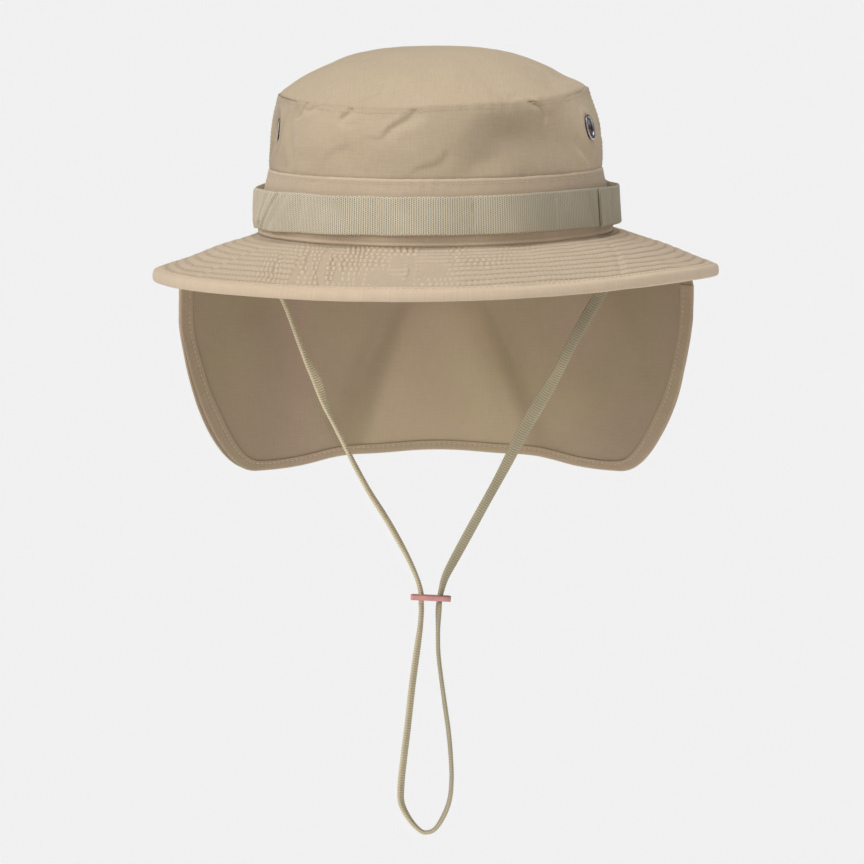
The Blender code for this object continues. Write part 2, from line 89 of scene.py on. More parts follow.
FLAP_RADIUS = 160.0 * MM
FLAP_BACK = 128.0 * MM
FLAP_HALF_ANGLE = math.radians(56.5)
FLAP_RING = 96.4 * MM
FLAP_RING_PHI = 80.0
FLAP_CORNER = 10.0 * MM
FLAP_SIDE_HEIGHT = -50.0 * MM
FLAP_BOTTOM = -132.6 * MM
FLAP_MIDDLE_RISE = 8.2 * MM
FLAP_LOBE = 100.5 * MM
FLAP_LOBE_POWER = 1.6
FLAP_CLEARANCE = 1.3 * MM
FLAP_EDGE_CLEARANCE = 2.6 * MM
SLIDER_HEIGHT = -191.0 * MM
SLIDER_CENTRE = -2.6 * MM
ANCHOR_XS = (-97.0 * MM, 99.0 * MM)

# How the soft hat sits: it leans a little, and the brim leans more towards its edge
HAT_TILT = 0.006
BRIM_TILT = 0.006
FLAP_SHIFT = -0.5 * MM
HEM_TOP = -33.0 * MM
LOBE_ROUND = 0.19
# How far the seam of the tip sags or stands up, in mm by phi
SEAM_WAVE = (
    (-180, 0), (-110, 0.5), (-77, 0.6), (-60, -0.8), (-46, -2.2), (-26, -3.4), (-14, -3.5), (-4, -2.2),
    (9, -1.5), (26, -1.1), (40, 0), (55, 0.8), (70, 3.0), (88, 3.6), (112, 2.0), (150, 0), (180, 0),
)


# ---------------------------------------------------------------- numbers


def ease(t):
    t = np.clip(t, 0.0, 1.0)
    return t * t * (3 - 2 * t)


def bell(x, width):
    return np.exp(-((x / width) ** 2))


def unit(vectors):
    return vectors / np.maximum(np.linalg.norm(vectors, axis=-1, keepdims=True), 1e-12)


def flatten_circle(value):
    """A sine or cosine, changed so that a circle becomes a rounded box."""
    return np.sign(value) * np.abs(value) ** 0.75


def lattice(cell, seed):
    """A repeatable value from -1 to 1 for each whole-number cell."""
    n = cell[..., 0] * 73856093 ^ cell[..., 1] * 19349663 ^ cell[..., 2] * 83492791 ^ (seed * 7919 + 17)
    n = (n ^ (n >> 13)) * 1274126177 & 0xFFFFFFFF
    n = (n ^ (n >> 15)) * 668265263 & 0xFFFFFFFF
    return ((n ^ (n >> 16)) & 0xFFFF) / 32767.5 - 1


def noise(points, scale, seed):
    """Smooth value noise from -1 to 1, whose lumps are about scale across."""
    spot = np.asarray(points) / scale + 100.0
    cell = np.floor(spot).astype(np.int64)
    share = spot - cell
    share = share * share * share * (share * (share * 6 - 15) + 10)
    total = 0.0
    for corner in range(8):
        step = np.array([corner & 1, corner >> 1 & 1, corner >> 2 & 1])
        weight = np.where(step, share, 1 - share).prod(-1)
        total = total + weight * lattice(cell + step, seed)
    return total


def line_noise(along, scale, seed):
    along = np.asarray(along, float)
    return noise(np.stack([along, along * 0, along * 0], -1), scale, seed)


def stretch(radius):
    return OVAL_EXTRA * np.minimum(1.0, radius / SEAM_RADIUS)


def oval(radius, phi, z):
    radius, angle, z = np.broadcast_arrays(radius, np.radians(phi), z)
    return np.stack([radius * np.sin(angle), -(radius + stretch(radius)) * np.cos(angle), z], -1)


def oval_normal(radius, phi):
    radius, angle = np.broadcast_arrays(radius, np.radians(phi))
    return unit(
        np.stack([np.sin(angle) * (radius + stretch(radius)), -np.cos(angle) * radius, radius * 0], -1)
    )


def ring_radius(x, y):
    low, high = np.zeros(np.shape(x)), np.full(np.shape(x), 0.3)
    for _ in range(30):
        middle = (low + high) / 2
        outside = (x / middle) ** 2 + (y / (middle + stretch(middle))) ** 2 > 1
        low, high = np.where(outside, middle, low), np.where(outside, high, middle)
    return (low + high) / 2


def dome_height(radius):
    return SEAM_HEIGHT + DOME_HEIGHT * (1 - (radius / SEAM_RADIUS) ** 3)


def crown_radius(z):
    t = np.clip((z - BAND_HEIGHT) / (SEAM_HEIGHT - BAND_HEIGHT), 0, 1)
    straight = BAND_TOP_RADIUS + (SEAM_RADIUS - BAND_TOP_RADIUS) * t
    return straight + CROWN_BULGE * np.sin(np.pi * t) * (0.6 + t)


def band_radius(z):
    return ROOT_RADIUS + (BAND_TOP_RADIUS - ROOT_RADIUS) * np.clip(z / BAND_HEIGHT, 0, 1) ** 1.7


def brim_share(radius):
    return np.clip((radius - BRIM_INNER) / (BRIM_OUTER - BRIM_INNER), 0, None)


def brim_height(radius, phi):
    """Height of the brim's top face."""
    t = brim_share(radius)
    dip = BRIM_DIP * t**1.5 * np.cos(np.radians(phi)) ** 2
    return BRIM_TOP - BRIM_DROP * t**BRIM_CURVE - dip


def under_brim(x, y, clearance):
    radius = ring_radius(x, y)
    t = brim_share(radius)
    dip = BRIM_DIP * t**1.5 * (y / (radius + stretch(radius))) ** 2
    return BRIM_TOP - BRIM_DROP * t**BRIM_CURVE - dip - PLY_DEPTHS[2] - clearance


def around(phi, middle):
    """Degrees from middle to phi, the short way."""
    return (phi - middle + 180) % 360 - 180


def seam_wave(phi):
    places, lifts = zip(*SEAM_WAVE)
    return sum(np.interp(around(phi + step, 0), places, lifts) for step in (-6.0, 0.0, 6.0)) / 3 * MM


def settle(points, share=1.0):
    """Moves a piece of the soft hat the way that worn cloth sits: it leans, sags and slumps a little."""
    x, y, z = points[..., 0], points[..., 1], points[..., 2]
    radius = np.maximum(ring_radius(x, y), MM)
    t = np.clip(brim_share(radius), 0, 1.1)
    sine, cosine = x / radius, -y / (radius + stretch(radius))
    phi = np.degrees(np.arctan2(sine, cosine))
    lift = x * (HAT_TILT + BRIM_TILT * t)
    # the foot of the crown hangs lower at the front, and the brim's front edge stands up
    front = bell(phi, 70.0)
    lift = lift - 2.9 * MM * front * np.clip(1 - z / (31 * MM), 0, 1) * (1 - np.minimum(t, 1)) ** 2
    lift = lift + 1.6 * MM * t**1.5 * np.clip(cosine, 0, 1) ** 2
    lift = lift + (1.3 - 0.85 * bell(phi, 48.0)) * MM * bell(z - 31 * MM, 12 * MM)
    # the brim droops at its sides, most on the right
    droop = np.where(x > 0, -0.4, 1.1) * bell(t - 0.15, 0.3) * ease(t / 0.1)
    droop = droop + np.where(x > 0, 1.4 * ease((t - 0.3) / 0.5),
                             1.9 * bell(t - 0.72, 0.26) - 0.8 * ease((t - 0.8) / 0.2))
    lift = lift + 2.6 * MM * bell(around(phi, 58.0), 30.0) * np.clip(t, 0, 1) ** 1.3
    lift = lift - droop * MM * sine**2
    # the tip's seam waves, and its right corner is slumped
    corner = bell(around(phi, 84.0), 36.0) * ease((radius - 20 * MM) / (40 * MM))
    reach = np.where(z > 70 * MM, 8 * MM, 18 * MM)
    lift = lift + seam_wave(phi) * bell((z - 70 * MM) / reach, 1.0) * ease(radius / (45 * MM))
    dome = ease((z - 71 * MM) / (8 * MM))
    lift = lift - (0.5 * bell(radius, 50 * MM) + 0.9 * bell(radius - 48 * MM, 20 * MM)) * dome * MM
    lift = lift - 1.3 * MM * corner * dome * bell(radius - 62 * MM, 16 * MM)
    lift = lift - 0.9 * MM * corner * bell(z - 72 * MM, 9 * MM)
    spread = -3.3 * MM * bell(z - 67 * MM, 14 * MM) * corner
    spread = spread - 0.9 * MM * bell(z - 52 * MM, 20 * MM) * bell(around(phi, -90.0), 30.0)
    out = oval_normal(radius, phi) * spread[..., None]
    move = np.stack([-z * HAT_TILT * (z > 0), y * 0, lift], -1) + out
    return points + move * np.asarray(share)[..., None]


# ---------------------------------------------------------------- meshes


def grid_faces(rows, columns, wrap_rows=False, wrap_columns=False):
    r, c = np.meshgrid(
        np.arange(rows - (not wrap_rows)), np.arange(columns - (not wrap_columns)), indexing="ij"
    )
    r2, c2 = (r + 1) % rows, (c + 1) % columns
    quads = [r * columns + c, r * columns + c2, r2 * columns + c2, r2 * columns + c]
    return np.stack(quads, -1).reshape(-1, 4)


def normals_of(surface, away_from, wrap=False):
    """Normals of a grid of points, turned away from a point."""
    down = np.gradient(surface, axis=0)
    if wrap:
        padded = np.concatenate([surface[:, -1:], surface, surface[:, :1]], 1)
        across = (padded[:, 2:] - padded[:, :-2]) / 2
    else:
        across = np.gradient(surface, axis=1)
    normal = unit(np.cross(down, across))
    if ((surface - np.array(away_from)) * normal).sum() < 0:
        normal = -normal
    return normal


def shell(outer, inner, wrap=False, keep=None):
    """Points and faces of a cloth with two faces and closed edges. keep drops points, for holes."""
    rows, columns = outer.shape[:2]
    faces = grid_faces(rows, columns, wrap_columns=wrap)
    if keep is not None:
        faces = faces[keep.reshape(-1)[faces].all(1)]
    count = rows * columns
    edges = np.concatenate([faces[:, [i, (i + 1) % 4]] for i in range(4)])
    ends = np.sort(edges, 1)
    _, first, times = np.unique(ends[:, 0] * count + ends[:, 1], return_index=True, return_counts=True)
    rim = edges[first[times == 1]]
    walls = np.stack([rim[:, 1], rim[:, 0], rim[:, 0] + count, rim[:, 1] + count], 1)
    points = np.concatenate([outer.reshape(-1, 3), inner.reshape(-1, 3)])
    return points, np.concatenate([faces, faces[:, ::-1] + count, walls])


def link(obj):
    bpy.context.scene.collection.objects.link(obj)
    return obj


def dressed(mesh, material, tint, sharp):
    """An object of a mesh with its material. tint says how light its colour is, point by point; on most
    pieces it holds painted light and painted shade.
    """
    mesh.shade_smooth()
    mesh.set_sharp_from_angle(angle=math.radians(sharp))
    layer = mesh.attributes.new("tint", "FLOAT", "POINT")
    layer.data.foreach_set("value", np.asarray(tint, np.float32).ravel())
    mesh.materials.clear()
    mesh.materials.append(material)
    return link(bpy.data.objects.new(mesh.name, mesh))


def piece(name, points, faces, material, body="hat", stands_for=(), cloth=None, tint=None,
          sharp=55.0, caps=()):
    """A mesh object of closed surfaces. cloth holds each point's place on the flat cloth."""
    points = np.asarray(points, float).reshape(-1, 3)
    used, faces = np.unique(faces, return_inverse=True)
    faces = faces.reshape(-1, 4)
    points = points[used]
    a, b, c, d = (points[faces[:, i]] for i in range(4))
    volume = (np.einsum("ij,ij->i", a, np.cross(b, c)) + np.einsum("ij,ij->i", a, np.cross(c, d))).sum()
    if volume < 0:
        faces = faces[:, ::-1]
        caps = [loop[::-1] for loop in caps]
    mesh = bpy.data.meshes.new(name)
    mesh.from_pydata(points, [], faces.tolist() + [list(loop) for loop in caps])
    if cloth is not None:
        layer = mesh.attributes.new("cloth", "FLOAT_VECTOR", "POINT")
        layer.data.foreach_set("vector", np.asarray(cloth, np.float32).reshape(-1, 3)[used].ravel())
    tint = np.ones(len(used)) if tint is None else np.asarray(tint).ravel()[used]
    obj = dressed(mesh, material, tint, sharp)
    if body:
        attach(obj, body)
    if stands_for:
        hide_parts(*stands_for)
    return obj


def twice(values):
    """The same values for a shell's outer and inner points."""
    flat = values.reshape(-1, *values.shape[2:])
    return np.concatenate([flat, flat])


def closed(line):
    """A ring's points, with the first one again at its end."""
    return np.concatenate([line, line[:1]])


def reach_along(line):
    """How far along a line each of its points lies."""
    return np.concatenate([[0], np.cumsum(np.linalg.norm(np.diff(line, axis=0), axis=1))])


def end_caps(rows, columns):
    """Faces that close the ends of a tube, whose rings are the columns of a grid."""
    return [[r * columns for r in range(rows)], [r * columns + columns - 1 for r in range(rows)][::-1]]


def flat_place(u, v):
    u, v = np.broadcast_arrays(u, v)
    return np.stack([u, v, u * 0], -1)


def lathe(profile, phis):
    """Points of an oval surface, from (radius, z) rows and the angles of its columns."""
    profile = np.asarray(profile)
    return oval(profile[:, 0][:, None], phis[None, :], profile[:, 1][:, None])


# Rings of one stitch's thread: share of half its length, of its radius, and how far it stands up
STITCH_RINGS = ((-1.0, 0.35, -0.9), (-0.55, 0.95, 0.1), (0.55, 0.95, 0.1), (1.0, 0.35, -0.9))
THREAD_SIDES = 6
FINE_PITCH, BRIM_PITCH, HEM_PITCH = 2.2 * MM, 3.0 * MM, 2.7 * MM
FINE_STITCH = {"length": 1.6 * MM, "radius": 0.16 * MM, "lift": 0.05 * MM}
BRIM_STITCH = {"length": 2.3 * MM, "radius": 0.19 * MM}


def stitches(name, centres, alongs, normals, material, slot, length=2.2 * MM, radius=0.2 * MM, body="hat",
             lift=0.12 * MM, seed=1):
    """Sewn stitches: short threads whose ends dive into the cloth."""
    centres, alongs, normals = (np.asarray(x, float).reshape(-1, 3) for x in (centres, alongs, normals))
    alongs, normals = unit(alongs), unit(normals)
    across = unit(np.cross(normals, alongs))
    random = np.random.default_rng(seed)
    turn = random.normal(0, 0.07, (len(centres), 1))
    alongs = unit(alongs + across * turn)
    long = length * random.uniform(0.88, 1.08, (len(centres), 1))
    angles = np.arange(THREAD_SIDES) * 2 * math.pi / THREAD_SIDES
    rings = []
    for share, thick, rise in STITCH_RINGS:
        spine = centres + alongs * long * share / 2 + normals * (lift + rise * radius)
        for angle in angles:
            rings.append(spine + (across * math.cos(angle) + normals * math.sin(angle)) * radius * thick)
    points = np.stack(rings, 1)
    count = len(STITCH_RINGS) * THREAD_SIDES
    template = grid_faces(len(STITCH_RINGS), THREAD_SIDES, wrap_columns=True).tolist()
    for start in (0, count - THREAD_SIDES):
        ring = [start + i for i in range(THREAD_SIDES)]
        template += [[ring[0], ring[1], ring[2], ring[3]], [ring[0], ring[3], ring[4], ring[5]]]
    template = np.array(template)
    template[-4:-2] = template[-4:-2, ::-1]
    faces = template[None] + (np.arange(len(centres)) * count)[:, None, None]
    return piece(name, points, faces.reshape(-1, 4), material, body, sharp=80)


def row_of_stitches(line, normals, pitch, phase=0.0):
    """Places, directions and normals along a line of points, one every pitch."""
    reach = reach_along(line)
    spots = np.arange(pitch * (0.5 + phase), reach[-1] - pitch * 0.4, pitch)

    def at(values, where):
        return np.stack([np.interp(where, reach, values[:, i]) for i in range(3)], -1)

    along = at(line, spots + pitch / 4) - at(line, spots - pitch / 4)
    return at(line, spots), along, at(normals, spots)


def sew(name, rows, material, slot, settled=False, **look):
    """One piece of stitches from several rows. settled says that their places are final."""
    centres, alongs, normals = (np.concatenate(parts) for parts in zip(*rows))
    stitches(name, centres if settled else settle(centres), alongs, normals, material, slot, **look)


# ---------------------------------------------------------------- materials


def build_material(name, roughness, specular, metallic=0.0, sheen=0.0):
    made = bpy.data.materials.new(name)
    made.use_nodes = True
    tree = made.node_tree
    shader = tree.nodes["Principled BSDF"]
    shader.inputs["Roughness"].default_value = roughness
    shader.inputs["Metallic"].default_value = metallic
    shader.inputs["Specular IOR Level"].default_value = specular
    if sheen:
        shader.inputs["Sheen Weight"].default_value = sheen
        shader.inputs["Sheen Roughness"].default_value = 0.5
    return made, tree, shader


def node(tree, kind, settings=None, **inputs):
    """A shader node. An input's value is a number, a colour or another node's output."""
    made = tree.nodes.new(kind)
    for key, value in (settings or {}).items():
        setattr(made, key, value)
    for key, value in inputs.items():
        socket = made.inputs[int(key[1:])] if key[0] == "i" and key[1:].isdigit() else made.inputs[key]
        if isinstance(value, bpy.types.NodeSocket):
            tree.links.new(value, socket)
        else:
            socket.default_value = value
    return made


def maths(tree, operation, a, b=0.0, c=None):
    extra = {} if c is None else {"i2": c}
    return node(tree, "ShaderNodeMath", {"operation": operation}, i0=a, i1=b, **extra).outputs[0]


def blotches(tree, place, scale, detail=2.0, low=0.0, high=1.0, **settings):
    """Noise from low to high."""
    made = node(tree, "ShaderNodeTexNoise", None, Vector=place, Scale=scale, Detail=detail, **settings)
    spread = node(tree, "ShaderNodeMapRange", None, Value=made.outputs[0])
    for key, value in (("From Min", 0.3), ("From Max", 0.7), ("To Min", low), ("To Max", high)):
        spread.inputs[key].default_value = value
    return spread.outputs[0]


def tinted(tree, colour, *factors):
    """A colour times its factors, and times the mesh's own tint, which holds painted light and painted shade.
    """
    shade = node(tree, "ShaderNodeAttribute", {"attribute_name": "tint"}).outputs["Fac"]
    for factor in factors:
        shade = maths(tree, "MULTIPLY", shade, factor)
    return node(tree, "ShaderNodeVectorMath", {"operation": "SCALE"}, Vector=colour, Scale=shade).outputs[0]


RIPSTOP_PITCH = 4.6 * MM


def cloth_material(name, colour, other, grid, grain=0.05, patch=14.0):
    """Ripstop cotton: a fine weave with a thicker thread every few millimetres both ways."""
    made, tree, shader = build_material(name, 0.88, sheen=0.12, specular=0.2)
    place = node(tree, "ShaderNodeAttribute", {"attribute_name": "cloth"}).outputs["Vector"]
    spot = node(tree, "ShaderNodeTexCoord").outputs["Object"]
    parts = node(tree, "ShaderNodeSeparateXYZ", None, Vector=place).outputs
    lines = None
    for part in (parts[0], parts[1]):
        share = maths(tree, "FRACT", maths(tree, "MULTIPLY", part, 1 / RIPSTOP_PITCH))
        off = maths(tree, "ABSOLUTE", maths(tree, "SUBTRACT", share, 0.5))
        line = node(tree, "ShaderNodeMapRange", {"interpolation_type": "SMOOTHSTEP"}, Value=off)
        line.inputs["From Min"].default_value = 0.42
        line.inputs["From Max"].default_value = 0.5
        lines = line.outputs[0] if lines is None else maths(tree, "MAXIMUM", lines, line.outputs[0])
    broken = maths(tree, "MULTIPLY", lines, blotches(tree, spot, 160.0))
    patches = blotches(tree, spot, patch, 3.0, 0.0, 1.0)
    mixed = node(tree, "ShaderNodeMix", {"data_type": "RGBA"}, Factor=patches)
    mixed.inputs[6].default_value = (*colour, 1.0)
    mixed.inputs[7].default_value = (*other, 1.0)
    brighter = maths(tree, "MULTIPLY_ADD", broken, grid, 1.0)
    slub = node(tree, "ShaderNodeMapping", None, Vector=place, Scale=(900.0, 130.0, 1.0)).outputs[0]
    slub2 = node(tree, "ShaderNodeMapping", None, Vector=place, Scale=(130.0, 900.0, 1.0)).outputs[0]
    threads = maths(
        tree, "ADD", blotches(tree, slub, 1.0, 1.0, -1, 1), blotches(tree, slub2, 1.0, 1.0, -1, 1)
    )
    fine = maths(tree, "MULTIPLY_ADD", threads, grain * 0.5, 1.0)
    tree.links.new(tinted(tree, mixed.outputs[2], brighter, fine), shader.inputs["Base Color"])
    height = maths(tree, "MULTIPLY_ADD", lines, 0.6, maths(tree, "MULTIPLY", threads, 0.25))
    bump = node(tree, "ShaderNodeBump", None, Strength=0.35, Distance=0.12 * MM, Height=height)
    tree.links.new(bump.outputs[0], shader.inputs["Normal"])
    return made


def thread_material(name, colour):
    """Yarn, webbing or tape: fibres along the cloth, small variation of colour."""
    made, tree, shader = build_material(name, 0.75, sheen=0.15, specular=0.25)
    spot = node(tree, "ShaderNodeTexCoord").outputs["Object"]
    patches = blotches(tree, spot, 60.0, 2.0, 0.95, 1.05)
    fibres = blotches(tree, spot, 2400.0, 1.0, 0.95, 1.05)
    tree.links.new(tinted(tree, colour, patches, fibres), shader.inputs["Base Color"])
    bump = node(tree, "ShaderNodeBump", None, Strength=0.25, Distance=0.08 * MM, Height=fibres)
    tree.links.new(bump.outputs[0], shader.inputs["Normal"])
    return made


def nickel_material():
    made, tree, shader = build_material("nickel_plate", 0.3, metallic=1.0, specular=0.5)
    spot = node(tree, "ShaderNodeTexCoord").outputs["Object"]
    worn = blotches(tree, spot, 900.0, 3.0, 0.22, 0.42)
    tree.links.new(worn, shader.inputs["Roughness"])
    shade = blotches(tree, spot, 400.0, 2.0, 0.92, 1.04)
    tree.links.new(tinted(tree, (0.52, 0.50, 0.52), shade), shader.inputs["Base Color"])
    return made


def leather_material():
    made, tree, shader = build_material("pink_leather", 0.55, specular=0.35)
    spot = node(tree, "ShaderNodeTexCoord").outputs["Object"]
    pores = node(tree, "ShaderNodeTexVoronoi", None, Vector=spot, Scale=1400.0).outputs["Distance"]
    patches = blotches(tree, spot, 220.0, 3.0, 0.86, 1.08)
    tree.links.new(tinted(tree, (0.74, 0.36, 0.335), patches), shader.inputs["Base Color"])
    bump = node(tree, "ShaderNodeBump", None, Strength=0.3, Distance=0.15 * MM, Height=pores)
    tree.links.new(bump.outputs[0], shader.inputs["Normal"])
    return made


CROWN_CLOTH = cloth_material("ripstop_crown", (0.532, 0.426, 0.293), (0.516, 0.404, 0.277), grid=0.035)
BRIM_CLOTH = cloth_material("ripstop_brim", (0.526, 0.414, 0.300), (0.512, 0.402, 0.286), grid=0.03)
# The flap's ripstop is a darker, yellower copy of the hat's: painted shade for the flap, its hem and the
# brim's underside, which lie in the brim's shade.
SHADED_FLAP_CLOTH = cloth_material("ripstop_flap_painted_shade", (0.470, 0.378, 0.240), (0.486, 0.362, 0.265),
                            grid=0.01, grain=0.03, patch=16.0)
TAPE_CLOTH = thread_material("khaki_twill_tape", (0.42, 0.33, 0.23))
CORE = thread_material("interlining_felt", (0.62, 0.60, 0.55))
SEWING = thread_material("sewing_thread", (0.60, 0.50, 0.36))
SEWING_LIGHT = thread_material("sewing_thread_light", (0.66, 0.56, 0.41))
WEBBING = thread_material("sage_webbing", (0.545, 0.482, 0.360))
CORD = thread_material("olive_cord", (0.56, 0.485, 0.325))
NICKEL = nickel_material()
LEATHER = leather_material()


# ---------------------------------------------------------------- crown

# Creases of the crown, as (phi, drop) to (phi, drop), where drop is the distance in mm below the seam of
# the tip, negative on the tip itself, then the width and the depth in mm.
CROWN_CREASES = (
    (-19, -13, -31, -0.5, 2.9, 0.6), (-31, -1, -34, 8, 2.4, 1.15), (-36, 5, -28, 10, 3.2, 0.3),
    (-6, -1, -15, 14, 3.2, 1.25), (-14, 13, -22, 18, 3.6, 0.4), (6, 25, -5, 37, 3.6, 0.65),
    (46, 9, 38, -1, 2.2, 1.6), (30, -5, 40, 0, 2.6, 0.5), (-52, 0, -58, 8, 1.7, 0.9),
    (-46, 2, -53, 3, 1.6, 0.6), (-60, 2, -62, 33, 4.2, 1.7), (-78, 8, -85, 30, 4.6, 1.4),
    (-30, 20, -40, 33, 3.6, 0.45), (60, 20, 67, 36, 3.6, 0.9), (-68, 4, -72, 34, 3.6, 1.1),
    (84, 4, 90, 26, 3.4, 0.8), (100, 30, 94, 38, 2.4, 0.7), (118, -1, 127, 12, 2.2, 1.0),
    (140, 26, 133, 38, 2.4, 0.7), (152, -8, 158, 6, 2.2, 0.8), (171, 0, 165, 14, 2.0, 1.0),
    (186, 24, 193, 38, 2.4, 0.8), (199, -1, 206, 13, 2.2, 1.0), (222, -6, 217, 5, 2.2, 0.7),
    (236, 20, 229, 38, 2.8, 0.8), (251, 2, 259, 16, 2.4, 0.8), (268, 14, 262, 36, 3.6, 0.9),
)
# Broad soft dents: phi, drop, half width along and half height in mm, depth in mm
CROWN_DENTS = (
    (33, 17, 26, 10.5, 4.4), (20, 29, 12, 7, 1.4), (50, 24, 14, 9, 1.0), (33, 4.5, 28, 4, -0.8),
    (-14, 27, 18, 9, -0.6), (-40, 20, 16, 15, -0.7), (66, 14, 7, 14, -0.8), (-50, 31, 10, 6, 0.5),
    (110, 18, 15, 12, 1.0), (150, 20, 18, 13, -0.7), (184, 15, 16, 12, 1.1), (215, 24, 15, 11, -0.7),
    (246, 18, 14, 14, 1.0),
)


def crown_relief(phi, drop, points):
    """How far the crown's cloth stands out of its even shape. drop is in mm below the tip's seam."""
    per_degree = 1.5
    depth = np.zeros(np.broadcast(phi, drop).shape)
    for phi0, drop0, phi1, drop1, width, deep in CROWN_CREASES:
        ax, ay = around(phi, phi0) * per_degree, drop - drop0
        bx, by = (phi1 - phi0) * per_degree, drop1 - drop0
        length = math.hypot(bx, by)
        along = (ax * bx + ay * by) / length**2
        off = (ax * by - ay * bx) / length
        bend = 0.5 * width * np.sin(along * 5.0 + phi0)
        fade = ease(along / 0.25 + 0.35) * ease((1.35 - along) / 0.7)
        # a valley that is steep on one side, with a low lip on both
        off = off - bend
        off = off / np.where(off < 0, 0.6, 1.25) / (1.15 - 0.45 * np.clip(along, 0, 1))
        section = -bell(off, width) + 0.22 * bell(np.abs(off) - 2.0 * width, width * 1.3)
        depth += deep * fade * section
    for middle, centre, wide, high, deep in CROWN_DENTS:
        depth -= deep * bell(around(phi, middle) * per_degree, wide) * bell(drop - centre, high)
    depth += 0.8 * noise(points, 34 * MM, 3) + 0.42 * noise(points, 14 * MM, 4)
    depth += 0.09 * noise(points, 5.5 * MM, 5)
    # puckers that run into the two seams
    ripple = (np.sin(np.radians(phi) * 62 + 3 * line_noise(phi, 9.0, 6))
              * (0.5 + 0.5 * line_noise(phi, 21.0, 7)))
    depth += 0.16 * ripple * bell(drop - 0.5, 4.5)
    depth *= 1 - 0.9 * bell(drop - 40, 3.0)
    low = np.sin(np.radians(phi) * 71 + 3 * line_noise(phi, 11.0, 8)) * (0.5 + 0.5 * line_noise(phi, 25.0, 9))
    depth += 0.13 * low * bell(drop - 39, 4.0)
    return depth * MM


def tip_panel():
    """The oval top, from a square grid that is bent into a disc."""
    count = 204
    rim = SEAM_RADIUS + 0.18 * MM
    a, b = np.meshgrid(np.linspace(-1, 1, count), np.linspace(-1, 1, count), indexing="ij")
    wide = np.abs(a) >= np.abs(b)
    big, small = np.where(wide, a, b), np.where(wide, b, a)
    turn = np.pi / 4 * small / np.where(np.abs(big) < 1e-9, 1, big)
    radius, angle = np.abs(big), np.where(wide, turn, np.pi / 2 - turn) + np.where(big < 0, np.pi, 0)
    phi = np.degrees(angle)
    # rings lie closer together towards the seam
    radius = rim * (1.18 * radius - 0.18 * radius**2.6)
    radius = np.minimum(radius, rim)
    z = dome_height(radius)
    from_rim = (rim - radius) / MM
    base = oval(radius, phi, z)
    normal = normals_of(base, away_from=(0, 0, -0.1))
    out = crown_relief(phi, -from_rim * 1.2, base)
    # the tip's rim goes out and in with the side panels that it is sewn to
    base = base + oval_normal(radius, phi) * (out * bell(from_rim, 3.0))[..., None]
    out = out * (1 - bell(from_rim, 3.0))
    out += (0.15 * bell(from_rim - 2.0, 1.3) - 0.45 * bell(from_rim, 0.8)) * MM
    outer = base + normal * out[..., None]
    inner = outer - normal * 0.9 * MM
    points, faces = shell(settle(outer), settle(inner))
    # Painted light that grows towards the right of the tip, and painted shade along its seam.
    tint = 0.99 + 0.12 * np.clip(base[..., 0] / (80 * MM), -0.4, 1) - 0.12 * bell(from_rim, 0.7)
    piece("crown_top_panel", points, faces, CROWN_CLOTH, stands_for=["crown_tip"],
          cloth=twice(flat_place(base[..., 0], base[..., 1] * 1.02)), tint=twice(tint))


def lip(radius, z, size):
    """(radius, z) rows of a rounded upper edge, from its inner end down to its outer side."""
    return [(radius - size + size * math.cos(t), z + size * math.sin(t))
            for t in np.radians([100, 75, 50, 25, 0])]


def vent_axis(phi):
    """Middle and outward axis of a vent."""
    front_left = abs(phi - (EYELET_TURN - EYELET_PHI)) < 1
    radius = crown_radius(EYELET_HEIGHT) - (2.5 * MM if front_left else 0.0)
    rise = (crown_radius(EYELET_HEIGHT - MM) - crown_radius(EYELET_HEIGHT + MM)) / (2 * MM)
    axis = unit(oval_normal(radius, phi - (11.0 if front_left else 0.0)) + np.array([0, 0, rise]))
    return oval(radius, phi, EYELET_HEIGHT), axis


def vent_phis():
    return [(side, end, sign * phi + EYELET_TURN) for side, sign in (("left", -1), ("right", 1))
            for end, phi in (("front", EYELET_PHI), ("rear", 180 - EYELET_PHI))]


def side_profile():
    """Rows of the side panel from its rolled upper edge down to the lower band."""
    top = SEAM_HEIGHT - 0.5 * MM
    rows = lip(float(crown_radius(top)) + 0.3 * MM, top, 0.45 * MM)
    heights = np.concatenate([np.linspace(top - 0.4 * MM, 64 * MM, 10),
                              np.linspace(63.2 * MM, 31.4 * MM, 44)])
    for z in heights:
        # the seam allowance lies inside the topmost few millimetres
        raised = 0.16 * MM * float(ease((z - 64.0 * MM) / (3.5 * MM)))
        raised += 0.14 * MM * float(bell(z - (top - 0.4 * MM), 0.5 * MM))
        rows.append((float(crown_radius(z)) + raised, z))
    rows += [(BAND_TOP_RADIUS - 0.25 * MM, 30.6 * MM), (BAND_TOP_RADIUS + 0.5 * MM, 28.6 * MM)]
    return np.array(rows)


def hole_out(points, centre, axis, radius):
    """Moves points that lie inside a round hole to its edge, and says which lie well inside."""
    level = points - centre
    along = (level * axis).sum(-1, keepdims=True)
    flat = level - along * axis
    away = np.linalg.norm(flat, axis=-1, keepdims=True)
    near = (away < radius) & (np.abs(along) < 6 * MM)
    moved = np.where(near & (away > 1e-6),
                     centre + axis * along + flat / np.maximum(away, 1e-6) * radius, points)
    return moved, (near & (away < radius - 0.9 * MM))[..., 0]


# Painted light and painted shade on the side panels, where they are painted lighter or darker: phi and half
# width in degrees, drop and half height in mm, by how much. The largest half height stands for the full
# height.
PAINTED_SIDE_SHADES = (
    (31.0, 19.0, 19, 13, -0.17), (2.0, 24.0, 0, 1e6, -0.06), (-86.0, 22.0, 0, 1e6, -0.19),
    (66.0, 17.0, 0, 1e6, 0.15),
)
TOPSTITCH_HEIGHT = 67.6 * MM


